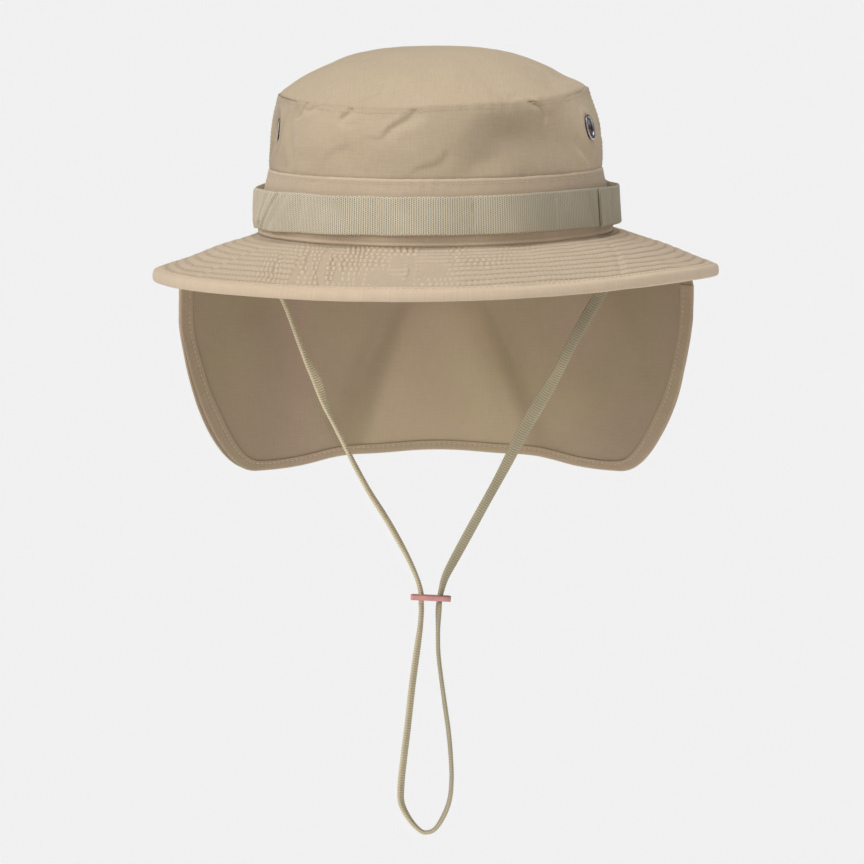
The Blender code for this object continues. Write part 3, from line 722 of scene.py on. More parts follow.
def side_panels():
    profile = side_profile()
    seam = math.degrees(-0.03 * MM / ROOT_RADIUS)
    thickness = np.interp(np.arange(len(profile)), [0, 4, 9], [0.45, 0.6, 0.9]) * MM
    rows = []
    for name, node_name, middle in (("crown_side_panel_front", "crown_side_front", 0.0),
                                    ("crown_side_panel_back", "crown_side_back", 180.0)):
        phis = middle + np.linspace(-90 + seam, 90 - seam, 440)
        base = lathe(profile, phis)
        normal = normals_of(base, away_from=(0, 0, 0.03))
        drop = (SEAM_HEIGHT - profile[:, 1][:, None]) / MM
        out = crown_relief(phis[None, :], drop, base)
        edge = 90 - np.abs(phis - middle)
        out += (-0.45 * bell(edge, 0.5) + 0.25 * bell(edge - 1.6, 1.0))[None, :] * MM
        outer = base + normal * out[..., None]
        inner = outer - normal * thickness[:, None, None]
        dropped = np.zeros(outer.shape[:2], bool)
        for _, _, phi in vent_phis():
            centre, axis = vent_axis(phi)
            # the cloth is drawn flat where the vent clamps it
            away = np.linalg.norm(base - centre, axis=-1)
            share = ease((12.5 * MM - away) / (5 * MM))[..., None]
            flat = base - axis * ((base - centre) * axis).sum(-1, keepdims=True) * share
            outer = outer * (1 - share) + flat * share
            inner = inner * (1 - share) + (flat - normal * thickness[:, None, None]) * share
            outer, gone = hole_out(outer, centre, axis, EYELET_HOLE)
            inner, _ = hole_out(inner, centre, axis, EYELET_HOLE)
            dropped |= gone
        points, faces = shell(settle(outer), settle(inner), keep=~dropped)
        place = flat_place(np.radians(phis)[None, :] * 88 * MM, -drop * MM)
        # Painted shade along the tip's seam and just above the lower band's lip.
        tint = 1 - 0.10 * bell(drop - 0.2, 0.3) - 0.07 * bell(drop - 2.2, 0.5) - 0.14 * bell(drop - 38.7, 0.6)
        for middle_phi, wide, centre, high, lighter in PAINTED_SIDE_SHADES:
            tint = tint + lighter * bell(around(phis, middle_phi)[None, :], wide) * bell(drop - centre, high)
        piece(name, points, faces, CROWN_CLOTH, stands_for=[node_name],
              cloth=twice(place), tint=twice(tint))
        row = int(np.argmin(np.abs(profile[:, 1] - TOPSTITCH_HEIGHT)))
        rows.append(row_of_stitches(outer[row], normal[row], FINE_PITCH))
        for column in (3, -4):
            rows.append(row_of_stitches(outer[6:-3, column], normal[6:-3, column], FINE_PITCH))
    sew("crown_topstitches", rows, SEWING, "khaki_ripstop", **FINE_STITCH)


def lower_band():
    """The band of cloth between the side panels and the brim, with a rolled upper edge."""
    top = BAND_HEIGHT - 0.6 * MM
    rows = lip(BAND_TOP_RADIUS + 0.42 * MM, top, 0.34 * MM)
    for z in np.concatenate([np.linspace(top - 0.4 * MM, 25 * MM, 10), np.linspace(24 * MM, 3.2 * MM, 22),
                             np.linspace(2.6 * MM, 0.3 * MM, 7)]):
        raised = (0.22 * MM * float(ease((z - 25.5 * MM) / (4.5 * MM)))
                  + 0.3 * MM * float(ease((1.9 * MM - z) / MM)))
        raised += 0.28 * MM * float(bell(z - (top - 0.4 * MM), 0.55 * MM))
        rows.append((float(band_radius(z)) + raised, z))
    rows.append((ROOT_RADIUS - 0.1 * MM, -0.15 * MM))
    profile = np.array(rows)
    phis = np.linspace(0, 360, 720, endpoint=False)
    base = lathe(profile, phis)
    normal = normals_of(base, wrap=True, away_from=(0, 0, 0.0))
    height = profile[:, 1][:, None] / MM
    depth = 0.25 * noise(base, 20 * MM, 11) + 0.08 * noise(base, 6 * MM, 12)
    ripple = (np.sin(np.radians(phis) * 84 + 3 * line_noise(phis, 9.0, 13))
              * (0.6 + 0.4 * line_noise(phis, 20.0, 14)))
    depth += 0.14 * ripple[None, :] * (bell(height - 28.5, 3.0) + 0.8 * bell(height - 1.5, 2.0))
    outer = base + normal * depth[..., None] * MM
    thickness = np.interp(np.arange(len(profile)), [0, 4, 9], [0.4, 0.55, 0.9]) * MM
    inner = outer - normal * thickness[:, None, None]
    points, faces = shell(settle(outer), settle(inner), wrap=True)
    # Painted highlights on the rolled lip and on the ridge at the root, painted shade under the lip and above
    # the root ridge, a painted shadow line at the foot; the middle is painted lighter.
    tint = 1.04 + 0.14 * bell(height - 30.3, 0.45) - 0.08 * bell(height - 28.6, 0.5) + 0 * phis[None, :]
    tint = tint + 0.16 * bell(height - 12, 11) - 0.08 * bell(height - 2.3, 0.5)
    tint = tint + 0.22 * bell(height - 1.1, 0.5) - 0.4 * bell(height + 0.1, 0.35)
    piece("crown_band_cloth", points, faces, BRIM_CLOTH, stands_for=["crown_lower_band"],
          cloth=twice(flat_place(np.radians(phis)[None, :] * 92 * MM, height * MM)), tint=twice(tint))
    rows = []
    for level in (28.4 * MM, 2.4 * MM):
        row = int(np.argmin(np.abs(profile[:, 1] - level)))
        rows.append(row_of_stitches(closed(outer[row]), closed(normal[row]), FINE_PITCH))
    sew("crown_band_stitches", rows, SEWING, "khaki_ripstop", seed=2, **FINE_STITCH)


def ring_solid(name, profile, material, stands_for, columns=360, relief=None, tint=None, phis=None,
               placed=None, sharp=55.0):
    """An oval ring with a closed section. relief(phis, radii) moves its points along their normals."""
    profile = np.asarray(profile)
    phis = np.linspace(0, 360, columns, endpoint=False) if phis is None else phis
    base = lathe(profile, phis) if placed is None else placed(profile, phis)
    ring = np.concatenate([base[-1:], base, base[:1]])
    down = (ring[2:] - ring[:-2]) / 2
    side = np.concatenate([base[:, -1:], base, base[:, :1]], 1)
    normal = unit(np.cross(down, (side[:, 2:] - side[:, :-2]) / 2))
    middle = base.mean(0, keepdims=True)
    if ((base - middle) * normal).sum() < 0:
        normal = -normal
    if relief is not None:
        base = base + normal * relief(phis[None, :], profile)[..., None]
    faces = grid_faces(len(profile), len(phis), wrap_rows=True, wrap_columns=True)
    place = flat_place(np.radians(phis)[None, :] * 120 * MM, profile[:, 0][:, None])
    shade = np.ones(base.shape[:2]) if tint is None else tint(phis[None, :], profile)
    obj = piece(name, settle(base), faces, material, stands_for=stands_for, cloth=place,
                tint=shade, sharp=sharp)
    return obj, base, normal


def sweatband():
    """The inner band, a folded tape that is sewn along its lower edge."""
    heights = np.linspace(0.8 * MM, 25.6 * MM, 16)
    outer = [(float(band_radius(z)) - 1.75 * MM, z) for z in heights]
    inner = [(float(band_radius(z)) - 2.95 * MM, z) for z in heights[::-1]]
    profile = outer + [(inner[0][0] + 0.5 * MM, 26 * MM)] + inner + [(inner[-1][0] + 0.6 * MM, 0.3 * MM)]

    def relief(phi, rows):
        wave = 0.25 * np.sin(np.radians(phi) * 9) + 0.1 * np.sin(np.radians(phi) * 47)
        row = np.arange(len(rows))[:, None]
        inside = (row > 17) & (row < 33)
        groove = -0.25 * (bell(rows[:, 1][:, None] / MM - 3.0, 0.8)
                          + bell(rows[:, 1][:, None] / MM - 23.4, 0.8))
        return (groove + 0.12 * wave) * inside * MM

    ring_solid("inner_sweatband", profile, TAPE_CLOTH, ["sweatband"], 420, relief)
    phis = np.linspace(0, 360, 800)
    rows = []
    for z in (3.0 * MM, 23.4 * MM):
        radius = float(band_radius(z)) - 2.95 * MM
        rows.append(row_of_stitches(oval(radius, phis, z), -oval_normal(radius, phis), BRIM_PITCH))
    sew("sweatband_stitches", rows, SEWING, "khaki_tape", length=2.2 * MM, lift=0.0, seed=3)


# ---------------------------------------------------------------- vents


EYELET_COLUMNS = 56


def turned_on(profile, centre, axis):
    """Points of a ring turned about an axis, from (radius, height) rows."""
    axis = unit(np.asarray(axis))
    side = unit(np.cross(axis, np.array([0, 0, 1.0])))
    up = np.cross(side, axis)
    turn = np.arange(EYELET_COLUMNS) * 2 * math.pi / EYELET_COLUMNS
    around_it = side * np.cos(turn)[:, None] + up * np.sin(turn)[:, None]
    return centre + profile[:, 0][:, None, None] * around_it[None] + profile[:, 1][:, None, None] * axis


# Sections of an eyelet and of the washer behind it: radius and height along its axis in mm
EYELET_SECTION = [
    (5.8 + 0.35 * math.cos(t), 0.95 + 0.3 * math.sin(t)) for t in np.radians([-90, -45, 0, 40, 75])
] + [
    (5.75, 1.42), (5.2, 1.46), (4.85, 1.32), (4.62, 1.05), (4.52, 0.7), (4.5, 0.0), (4.5, -1.4), (4.6, -2.6),
    (4.75, -2.85), (4.95, -2.8), (5.05, -2.4), (5.08, 0.5), (5.2, 0.62), (5.5, 0.62),
]
WASHER_SECTION = [
    (5.5, -0.02), (6.5, -0.02), (6.8, -0.15), (6.85, -0.35), (6.7, -0.6), (6.3, -0.72), (5.8, -0.66),
    (5.5, -0.5), (5.46, -0.25),
]
# Painted shade: how light the bore, the barrel behind the cloth and the whole washer are, against the rim.
BORE_PAINTED_SHADE = 0.62


def vents():
    for side, end, phi in vent_phis():
        centre, axis = vent_axis(phi)
        for name, profile, node_name, inset in (
            (f"vent_{side}_{end}", EYELET_SECTION, f"eyelet_{side}_{end}", 0.0),
            (f"vent_washer_{side}_{end}", WASHER_SECTION, f"eyelet_washer_{side}_{end}", CLOTH + 0.75 * MM),
        ):
            rows = np.array(profile) * MM
            points = turned_on(rows, centre - axis * inset, axis)
            faces = grid_faces(len(rows), points.shape[1], wrap_rows=True, wrap_columns=True)
            # The bore, the barrel behind the cloth and the washer take the painted shade of the hole.
            barrel = (rows[:, 0] < 4.7 * MM) | (rows[:, 1] < 0.6 * MM)
            tint = np.where(barrel, BORE_PAINTED_SHADE, 1.0)[:, None] + np.zeros(points.shape[1])
            piece(name, settle(points), faces, NICKEL, stands_for=[node_name], tint=tint, sharp=70)


# ---------------------------------------------------------------- brim

ROW_PITCH = 4.95 * MM
STITCH_ROWS = [BRIM_INNER + 3.6 * MM + ROW_PITCH * k for k in range(10)]
PUCKER_PITCH = 3.1 * MM
BRIM_MIDDLE = 118 * MM
PLY_EDGE = BRIM_OUTER - 0.4 * MM
# Radial creases of the brim: phi, inner and outer share of its width, width and depth in mm
BRIM_CREASES = (
    (-28.0, 0.10, 0.85, 1.5, 1.0), (-24.5, 0.35, 0.8, 1.1, 0.6), (-36.0, 0.3, 0.9, 1.4, 0.7),
    (-32.0, 0.2, 0.75, 1.2, 0.6), (-5.5, 0.35, 0.9, 1.2, 0.9), (-42.0, 0.3, 0.8, 1.6, 0.5),
    (-18.0, 0.4, 0.95, 1.3, 0.4), (-60.0, 0.2, 0.9, 2.0, 0.5), (6.0, 0.1, 0.5, 1.4, 0.25),
    (-75.0, 0.3, 0.9, 1.8, 0.5), (52.0, 0.2, 0.9, 2.2, 0.3), (96.0, 0.2, 0.8, 1.8, 0.5),
    (121.0, 0.3, 0.9, 1.6, 0.6), (139.0, 0.1, 0.7, 1.8, 0.5), (166.0, 0.3, 0.9, 1.5, 0.6),
    (188.0, 0.2, 0.8, 1.8, 0.4), (213.0, 0.2, 0.9, 1.6, 0.6), (236.0, 0.3, 0.8, 1.6, 0.5),
    (262.0, 0.2, 0.9, 1.8, 0.5),
)


def pucker_strength(phi):
    """The quilted brim puckers most at the front left, and hardly at the front right."""
    strength = 0.12 + 0.40 * bell(around(phi, -30.0), 18.0) + 0.18 * bell(around(phi, -2.0), 18.0)
    strength -= 0.10 * bell(around(phi, 56.0), 28.0)
    strength += 0.06 * bell(around(phi, 165.0), 30.0) + 0.06 * bell(around(phi, 235.0), 22.0)
    return np.maximum(strength, 0.02)


def quilting(phi, radius):
    """Relief of the quilted brim: grooves at its rows of stitches, and cloth that swells between them."""
    number = (radius - STITCH_ROWS[0]) / ROW_PITCH
    inside = ease((number + 1.2) / 0.4) * ease((len(STITCH_ROWS) - 0.1 - number) / 0.3)
    share = number - np.floor(number)
    row = np.floor(number)
    off = np.minimum(share, 1 - share) * ROW_PITCH / MM
    depth = (-0.55 * bell(off, 0.42) + 0.10) * inside
    along = np.radians(phi) * (radius + OVAL_EXTRA / 2)
    arc = np.radians(phi) * radius
    wander = 3.4 * line_noise(arc, 11 * MM, 21) + 1.9 * line_noise(along + row * 31 * MM, 15 * MM, 25)
    wave = np.sin(arc / PUCKER_PITCH * 2 * math.pi + wander)
    wave = np.where(wave < 0, wave * np.abs(wave) ** 0.6, wave * 0.6)
    patch = np.stack(np.broadcast_arrays(arc, row * 4 * MM, row * 0), -1)
    patchy = np.clip(0.55 + 0.9 * noise(patch, 13 * MM, 22), 0.05, 1.3) * (1 - bell(around(phi, 180.0), 5.0))
    swell = np.sin(np.pi * share) ** 0.7
    depth = depth + pucker_strength(phi) * patchy * wave * swell * inside
    return depth


def brim_relief(phi, profile, face=1.0):
    radius = profile[:, 0][:, None]
    depth = quilting(phi, radius)
    t = brim_share(radius)
    for middle, start, end, width, deep in BRIM_CREASES:
        off = np.radians(around(phi, middle)) * (radius + OVAL_EXTRA / 2) / MM
        if abs(middle) < 60:
            # the front creases run straight back instead of along a radius
            off = (np.radians(phi) * radius - math.radians(middle) * BRIM_MIDDLE) / MM
        off = off + 1.2 * np.sin(t * 7 + middle)
        fade = ease((t - start) / 0.12 + 0.5) * ease((end - t) / 0.15 + 0.5)
        depth = depth - face * deep * fade * (bell(off, width)
                                              - 0.5 * bell(np.abs(off) - 2.2 * width, width * 1.2))
    spot = lathe(profile, phi[0])
    soft = 1.3 * noise(spot, 48 * MM, 23) + 0.4 * noise(spot, 15 * MM, 24)
    return (depth + face * soft * ease(t * 4) * ease((1.02 - t) * 6)) * MM


def quilt_rows(last):
    """Radii of a face's points: close together at the stitch rows."""
    radii = [BRIM_INNER, BRIM_INNER + 1.6 * MM]
    for start in STITCH_ROWS:
        radii += [start + offset * MM for offset in (-0.45, 0.0, 0.45, 1.3, 2.35, 3.4)]
    radii = [r for r in radii if r < last - 0.5 * MM]
    return np.array(radii + [last])


def on_brim(profile, phis):
    """Points of the brim, from rows of (radius, height above its top face)."""
    radius = profile[:, 0][:, None]
    return oval(radius, phis[None, :], brim_height(radius, phis[None, :]) + profile[:, 1][:, None])


def uneven_phis(columns):
    """Angles that lie closer together at the front."""
    turn = np.linspace(-math.pi, math.pi, columns, endpoint=False)
    return np.degrees(turn - 0.3 * np.sin(turn))


def brim_ply(name, node_name, top, bottom, fine_top, columns, material):
    """One ply as a closed ring, fine on the face that shows."""
    fine, coarse = quilt_rows(PLY_EDGE), np.linspace(BRIM_INNER, PLY_EDGE, 7)
    upper, lower = (fine, coarse) if fine_top else (coarse, fine)
    radii = np.concatenate([upper, lower[::-1]])
    depths = np.concatenate([np.full(len(upper), top), np.full(len(lower), bottom)])
    profile = np.stack([radii, -depths], -1)
    shown = np.concatenate([np.full(len(upper), fine_top), np.full(len(lower), not fine_top)])[:, None]

    def relief(phi, rows):
        if fine_top:
            return brim_relief(phi, rows) * shown
        return brim_relief(phi, rows, -0.8) * shown

    def tint(phi, rows):
        # Painted shade in the quilting's grooves, painted light on its swells and painted light on the right
        # side.
        depth = quilting(phi, rows[:, 0][:, None])
        away = around(phi, 15.0)
        right = 0.115 * ease(away / 45) * ease((150 - away) / 60)
        return 0.945 + np.clip(depth, -0.5, 0.3) * 0.8 * shown + right

    return ring_solid(name, profile, material, [node_name], relief=relief, tint=tint,
                      phis=uneven_phis(columns), placed=on_brim, sharp=60)


def brim():
    _, top, top_normal = brim_ply("brim_top_cloth", "brim_upper", 0.0, CLOTH, True, 1330, BRIM_CLOTH)
    lining, lower, under = PLY_DEPTHS
    _, below, below_normal = brim_ply("brim_under_cloth", "brim_lower", lower + 0.1 * MM, under, False, 1100,
                                      SHADED_FLAP_CLOTH)
    core = [(r, -(lining + 0.05 * MM)) for r in np.linspace(BRIM_INNER, BRIM_OUTER - MM, 9)]
    core += [(r, -(lining + 0.8 * MM)) for r in np.linspace(BRIM_OUTER - MM, BRIM_INNER, 9)]

    ring_solid("brim_stiffener", core, CORE, ["brim_interlining"], 240, placed=on_brim)

    fine = quilt_rows(PLY_EDGE)
    for name, surface, normal, seed, radii, start in (
        ("brim_top_stitches", top, top_normal, 4, fine, 0),
        ("brim_under_stitches", below, below_normal, 5, fine[::-1], len(below) - len(fine)),
    ):
        rows = []
        for number, radius in enumerate(STITCH_ROWS):
            row = start + int(np.argmin(np.abs(radii - radius)))
            rows.append(row_of_stitches(closed(surface[row]), closed(normal[row]), BRIM_PITCH,
                                        phase=0.37 * number % 1))
        sew(name, rows, SEWING, "khaki_ripstop", lift=0.10 * MM, seed=seed, **BRIM_STITCH)


def brim_edge():
    """The folded binding: a thick rolled edge with a row of stitches along its inner side."""
    inner = BRIM_OUTER - 4.6 * MM
    lift, reach, under = 0.42 * MM, 1.0 * MM, PLY_DEPTHS[2]
    half = under / 2 + lift
    section = [(inner, lift * 0.25), (inner + 0.25 * MM, lift * 1.0), (inner + 0.9 * MM, lift * 1.45),
               (inner + 1.7 * MM, lift * 1.2), (inner + 2.6 * MM, lift * 1.5),
               (inner + 3.6 * MM, lift * 1.45)]
    for angle in np.radians(np.linspace(80, -80, 13)):
        section.append((BRIM_OUTER - 0.3 * MM + (reach + 0.3 * MM) * math.cos(angle) ** 0.8,
                        -under / 2 + half * math.sin(angle) * 1.12))
    section += [(r, -under - h) for r, h in ((inner + 3.6 * MM, lift * 1.45), (inner + 2.6 * MM, lift * 1.5),
                                             (inner + 1.7 * MM, lift * 1.2), (inner + 0.9 * MM, lift * 1.45),
                                             (inner + 0.25 * MM, lift), (inner, lift * 0.25))]
    section += [(inner + 0.5 * MM, -under + 0.1 * MM), (BRIM_OUTER - MM, -under / 2),
                (inner + 0.5 * MM, -0.1 * MM)]

    def relief(phi, rows):
        along = np.radians(phi) * 150 * MM
        ripple = np.sin(along / PUCKER_PITCH * 2 * math.pi + 2 * line_noise(along, 14 * MM, 31))
        near = bell((rows[:, 0][:, None] - inner) / MM - 1.2, 1.4)
        spot = lathe(rows, phi[0])
        soft = 0.22 * noise(spot, 16 * MM, 32) + 0.35 * noise(spot, 48 * MM, 33)
        row = np.arange(len(rows))[:, None]
        return (0.05 * ripple * near + soft * (row < len(rows) - 3) * 0.8) * MM

    def tint(phi, rows):
        # Painted light on the rolled lower edge and on the right side, and a painted shade line along the
        # binding's inner edge.
        low = ease((-rows[:, 1][:, None] / MM + 1.5) / 3.0)
        right = 0.12 * bell(around(phi, 60.0), 40.0)
        return 1.13 + 0.12 * low - 0.14 * bell((rows[:, 0][:, None] - inner) / MM, 0.35) + right

    _, surface, normal = ring_solid("brim_binding", section, BRIM_CLOTH,
                                    ["brim_edge_binding"], relief=relief, tint=tint, phis=uneven_phis(1300),
                                    placed=on_brim)
    rows = []
    for row in (3, len(section) - 7):
        rows.append(row_of_stitches(closed(surface[row]), closed(normal[row]), BRIM_PITCH))
    sew("brim_binding_stitches", rows, SEWING, "khaki_ripstop", lift=0.08 * MM, seed=6, **BRIM_STITCH)


# ---------------------------------------------------------------- webbing

WEFT_PITCH = 1.22 * MM
YARNS = 21
YARN_PITCH = WEBBING_WIDTH / YARNS
TACKS, TACK_STITCHES = 12, 30
# Creases of the webbing: phi at its top and at its bottom, width and depth in mm, negative for a ridge
WEBBING_CREASES = (
    (-59.0, -74.0, 1.5, -0.7), (-64.0, -80.0, 2.4, 0.45), (-53.0, -66.0, 3.0, 0.3),
    (56.0, 60.0, 2.6, 0.5), (-84.0, -92.0, 3.0, 0.6),
)


def webbing_radius(phi, share):
    bulge = LOOP_BULGE * (1 - (1 - SIDE_LOOP) * np.sin(np.radians(phi)) ** 4)
    from_tack = (phi - FIRST_TACK) / LOOP_STEP
    return WEBBING_RADIUS - WEBBING_LEAN * share + bulge * np.sin(np.pi * from_tack) ** 2


def webbing_lift(phi):
    past_right = phi - FRONT_STRIP[1] - 0.5
    past_left = 360 + FRONT_STRIP[0] - 0.5 - phi
    return (WEBBING_THICKNESS + 0.35 * MM) * ease(1 - np.minimum(past_right, past_left) / LAP_SLOPE)


def webbing_trim(phi, share):
    """Takes back the stretch that the crown's slumped foot gives the webbing, and lets its sides hang."""
    return (bell(around(phi, 0.0), 75.0) * (0.65 * (1 - share) - 1.2 * share)
            - bell(around(phi, -90.0), 32.0) * 0.9
            - bell(around(phi, 90.0), 22.0) * share * 0.8) * MM


def weave(along, across):
    """Height of a webbing's woven face from 0 to 1: upright wefts with a pit wherever yarns cross."""
    weft = along / WEFT_PITCH
    column = np.round(weft)
    yarn = across / YARN_PITCH + 0.5 * (column % 2)
    pit = bell(weft - column, 0.32) * (0.5 + 0.5 * np.cos(2 * np.pi * yarn))
    return 1 - 0.9 * pit - 0.1 * bell(weft - column, 0.2)


def webbing_sag(phi, share):
    """Small dents of the webbing, in mm."""
    from_tack = np.abs(around((phi - FIRST_TACK) % LOOP_STEP * 12, 0.0)) / 12
    depth = -0.34 * bell(from_tack * 1.65, 2.3)
    for top, bottom, width, deep in WEBBING_CREASES:
        off = around(phi, bottom + (top - bottom) * share) * 1.65
        depth = depth - deep * (bell(off, width) - 0.5 * bell(np.abs(off) - 2.2 * width, width))
    return depth


def webbing_strip(name, node_name, ends, lifted):
    phis_fine = np.linspace(*ends, 4000)
    line = oval(webbing_radius(phis_fine, 0.5), phis_fine, 0.0)
    reach = reach_along(line)
    along = np.arange(0, reach[-1], WEFT_PITCH / 4)
    phis = np.interp(along, reach, phis_fine)
    across = (np.arange(3 * YARNS) + 0.5) * YARN_PITCH / 3
    across = np.concatenate([[0.0], across, [WEBBING_WIDTH]])
    share = (across / WEBBING_WIDTH)[:, None]
    lift = webbing_lift(phis) if lifted else phis * 0
    woven = weave(along[None, :], across[:, None])
    edge = np.minimum(across, WEBBING_WIDTH - across)[:, None] / MM
    rounded = 0.65 * (1 - np.sqrt(np.clip(1 - ((0.9 - edge) / 0.9) ** 2, 0, 1))) * (edge < 0.9)
    woven = np.where(edge < 0.35, 0.6 + 0.3 * np.cos(2 * np.pi * along[None, :] / WEFT_PITCH), woven)
    spot = oval(webbing_radius(phis, 0.5)[None, :], phis[None, :], across[:, None])
    soft = 0.28 * noise(spot, 15 * MM, 41) + 0.4 * noise(spot, 36 * MM, 42)
    sag = webbing_sag(phis[None, :], share) + soft * 0.6
    curl = 1.2 * bell(around(phis, -95.0), 20.0)[None, :] * ease((5 - across[:, None] / MM) / 5)
    sag = sag - curl
    out = WEBBING_THICKNESS - 0.35 * MM + (0.42 * woven - rounded + sag) * MM
    # the height wanders a little along the strip
    wander = (0.35 * line_noise(phis, 24.0, 43) + 0.15 * line_noise(phis, 7.0, 44))[None, :] * MM
    bottom = WEBBING_BOTTOM + WEBBING_TILT * np.cos(np.radians(phis))[None, :]
    z = (bottom + across[:, None] + wander * (0.4 + 0.6 * np.abs(2 * share - 1))
         + webbing_trim(phis[None, :], share))
    radius = webbing_radius(phis[None, :], share) + lift
    middle, outward = oval(radius, phis[None, :], z), oval_normal(radius, phis[None, :])
    front = middle + outward * out[..., None]
    back_rows = [59, 44, 30, 18, 5]
    behind = middle + outward * ((0.1 + sag * 0.8) * MM)[..., None]
    surface = np.concatenate([front, behind[back_rows]])
    rows, columns = surface.shape[:2]
    faces = grid_faces(rows, columns, wrap_rows=True)
    # Painted shade in the weave's pits, strongest at the left where the light grazes, painted shade on the
    # right side and painted highlights at the cut ends.
    contrast = 0.9 + 0.65 * bell(around(phis, -28.0), 46.0)[None, :]
    tint = np.maximum(1.02 + 0.26 * contrast - contrast * (1 - woven), 0.14)
    tint = tint * (1 - 0.24 * ease(around(phis, 0.0) / 60) * ease((130 - np.abs(around(phis, 0.0))) / 40))
    end = np.minimum(along, reach[-1] - along)[None, :] / MM
    tint = tint * (1 + 0.12 * bell(end, 0.8))
    tint = np.concatenate([tint, np.ones((len(back_rows), columns))])
    piece(name, settle(surface), faces, WEBBING, stands_for=[node_name], tint=tint, sharp=88,
          caps=end_caps(rows, columns))


def bar_tacks():
    """Upright columns of close zigzag stitches between the loops."""
    for number in range(TACKS):
        phi = FIRST_TACK + LOOP_STEP * number
        lifted = BACK_STRIP[0] < phi < BACK_STRIP[1]
        share = (np.arange(TACK_STITCHES) + 0.5) / TACK_STITCHES
        across = (0.09 + 0.82 * share) * WEBBING_WIDTH
        slant = np.where(np.arange(TACK_STITCHES) % 2, 1, -1)
        radius = webbing_radius(phi, across / WEBBING_WIDTH) + (webbing_lift(phi) if lifted else 0.0)
        z = WEBBING_BOTTOM + WEBBING_TILT * math.cos(math.radians(phi)) + across
        z = z + webbing_trim(phi, across / WEBBING_WIDTH)
        normal = np.repeat(oval_normal(np.array(radius.mean()), phi)[None], TACK_STITCHES, 0)
        centres = oval(radius, phi, z) + normal * (WEBBING_THICKNESS - 0.35 * MM)
        side = np.cross(normal, np.array([0, 0, 1.0]))
        alongs = side + np.array([0, 0, 0.22]) * slant[:, None]
        obj = stitches(f"tack_{number + 1:02d}", settle(centres), alongs, normal, WEBBING, "webbing",
                       length=1.7 * MM, radius=0.19 * MM, lift=0.02 * MM, seed=50 + number)
        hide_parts(f"bar_tack_{number + 1:02d}")


# ---------------------------------------------------------------- neck flap


def flap_wall(along):
    angle = along / FLAP_RADIUS
    return FLAP_RADIUS * np.sin(angle), FLAP_BACK - FLAP_RADIUS + FLAP_RADIUS * np.cos(angle)


def flap_edge(along):
    half = FLAP_HALF_ANGLE * FLAP_RADIUS
    power = np.where(along < 0, -0.04, -0.19) + FLAP_LOBE_POWER
    along = np.minimum(np.abs(along), half)
    middle = FLAP_BOTTOM + FLAP_MIDDLE_RISE * (1 - ease(along / FLAP_LOBE))
    middle += 0.7 * MM * bell(along, 62 * MM) + 2.0 * MM * bell(along - 52 * MM, 17 * MM)
    share = np.clip((along - FLAP_LOBE) / (half - FLAP_LOBE), 0, 1)
    share = (np.sqrt(share**2 + LOBE_ROUND**2) - LOBE_ROUND) / (math.hypot(1, LOBE_ROUND) - LOBE_ROUND)
    depth = (1 - share**power) ** (1 / power)
    side = FLAP_SIDE_HEIGHT + (FLAP_BOTTOM - FLAP_SIDE_HEIGHT) * depth
    return np.where(along <= FLAP_LOBE, middle, side)


def flap_base(u, v):
    """The flap's middle surface, without folds."""
    along = u * FLAP_HALF_ANGLE * FLAP_RADIUS
    x, y = flap_wall(along)
    root = oval(FLAP_RING + 0 * u, 180 - u * FLAP_RING_PHI, 0 * u)
    wall = np.stack([x, y, 0 * x], -1)
    reach = np.linalg.norm(wall - root, axis=-1, keepdims=True)
    turn = root + (wall - root) * (1 - FLAP_CORNER / reach)
    high = under_brim(x, y, FLAP_EDGE_CLEARANCE)
    run_share, turn_share = 0.25, 0.42
    t = np.clip(v / run_share, 0, 1)[..., None]
    run = root + (turn - root) * t
    slack = FLAP_CLEARANCE + (FLAP_EDGE_CLEARANCE - FLAP_CLEARANCE) * t[..., 0]
    run[..., 2] = under_brim(run[..., 0], run[..., 1], slack)
    turn[..., 2] = under_brim(turn[..., 0], turn[..., 1], FLAP_EDGE_CLEARANCE)
    corner = np.stack([x, y, high], -1)
    below = np.stack([x, y, high - FLAP_CORNER], -1)
    t = np.clip((v - run_share) / (turn_share - run_share), 0, 1)[..., None]
    first, second = turn + (corner - turn) * t, corner + (below - corner) * t
    bend = first + (second - first) * t
    t = np.clip((v - turn_share) / (1 - turn_share), 0, 1)[..., None]
    edge = np.stack([x, y, flap_edge(along) + 0.5 * MM], -1)
    hang = below + (edge - below) * t
    return np.where(v[..., None] <= run_share, run, np.where(v[..., None] <= turn_share, bend, hang))


# Folds of the hanging flap: x and z of the middle, lean, half width and half height in mm, depth outwards
FLAP_FOLDS = (
    (-36, -74, 0.42, 8, 38, 4.4), (-16, -74, 0.35, 9, 36, -2.2), (36, -68, -0.42, 8, 36, 4.4),
    (18, -72, -0.3, 9, 36, -2.2), (-78, -80, 0.25, 13, 34, 1.8), (88, -78, -0.25, 13, 34, 2.0),
    (-104, -60, 0.4, 8, 22, -1.4), (108, -60, -0.4, 8, 22, -1.4), (8, -84, 0.0, 13, 26, 0.8),
    (-60, -112, -0.5, 9, 16, -1.0), (70, -112, 0.5, 9, 16, 1.0),
)


def flap_fold(along, z):
    """How far the flap's wall stands out of its even curve."""
    x, z = along / MM, z / MM
    depth = 0.0
    for middle, centre, lean, wide, high, deep in FLAP_FOLDS:
        depth = depth + deep * bell(x - middle - lean * (z - centre), wide) * bell(z - centre, high)
    spot = np.stack(np.broadcast_arrays(along, z * MM, 0 * along), -1)
    depth = (depth + 1.0 * noise(spot, 42 * MM, 51) + 0.22 * noise(spot, 15 * MM, 52)
             + 0.06 * noise(spot, 6 * MM, 53))
    return depth * MM


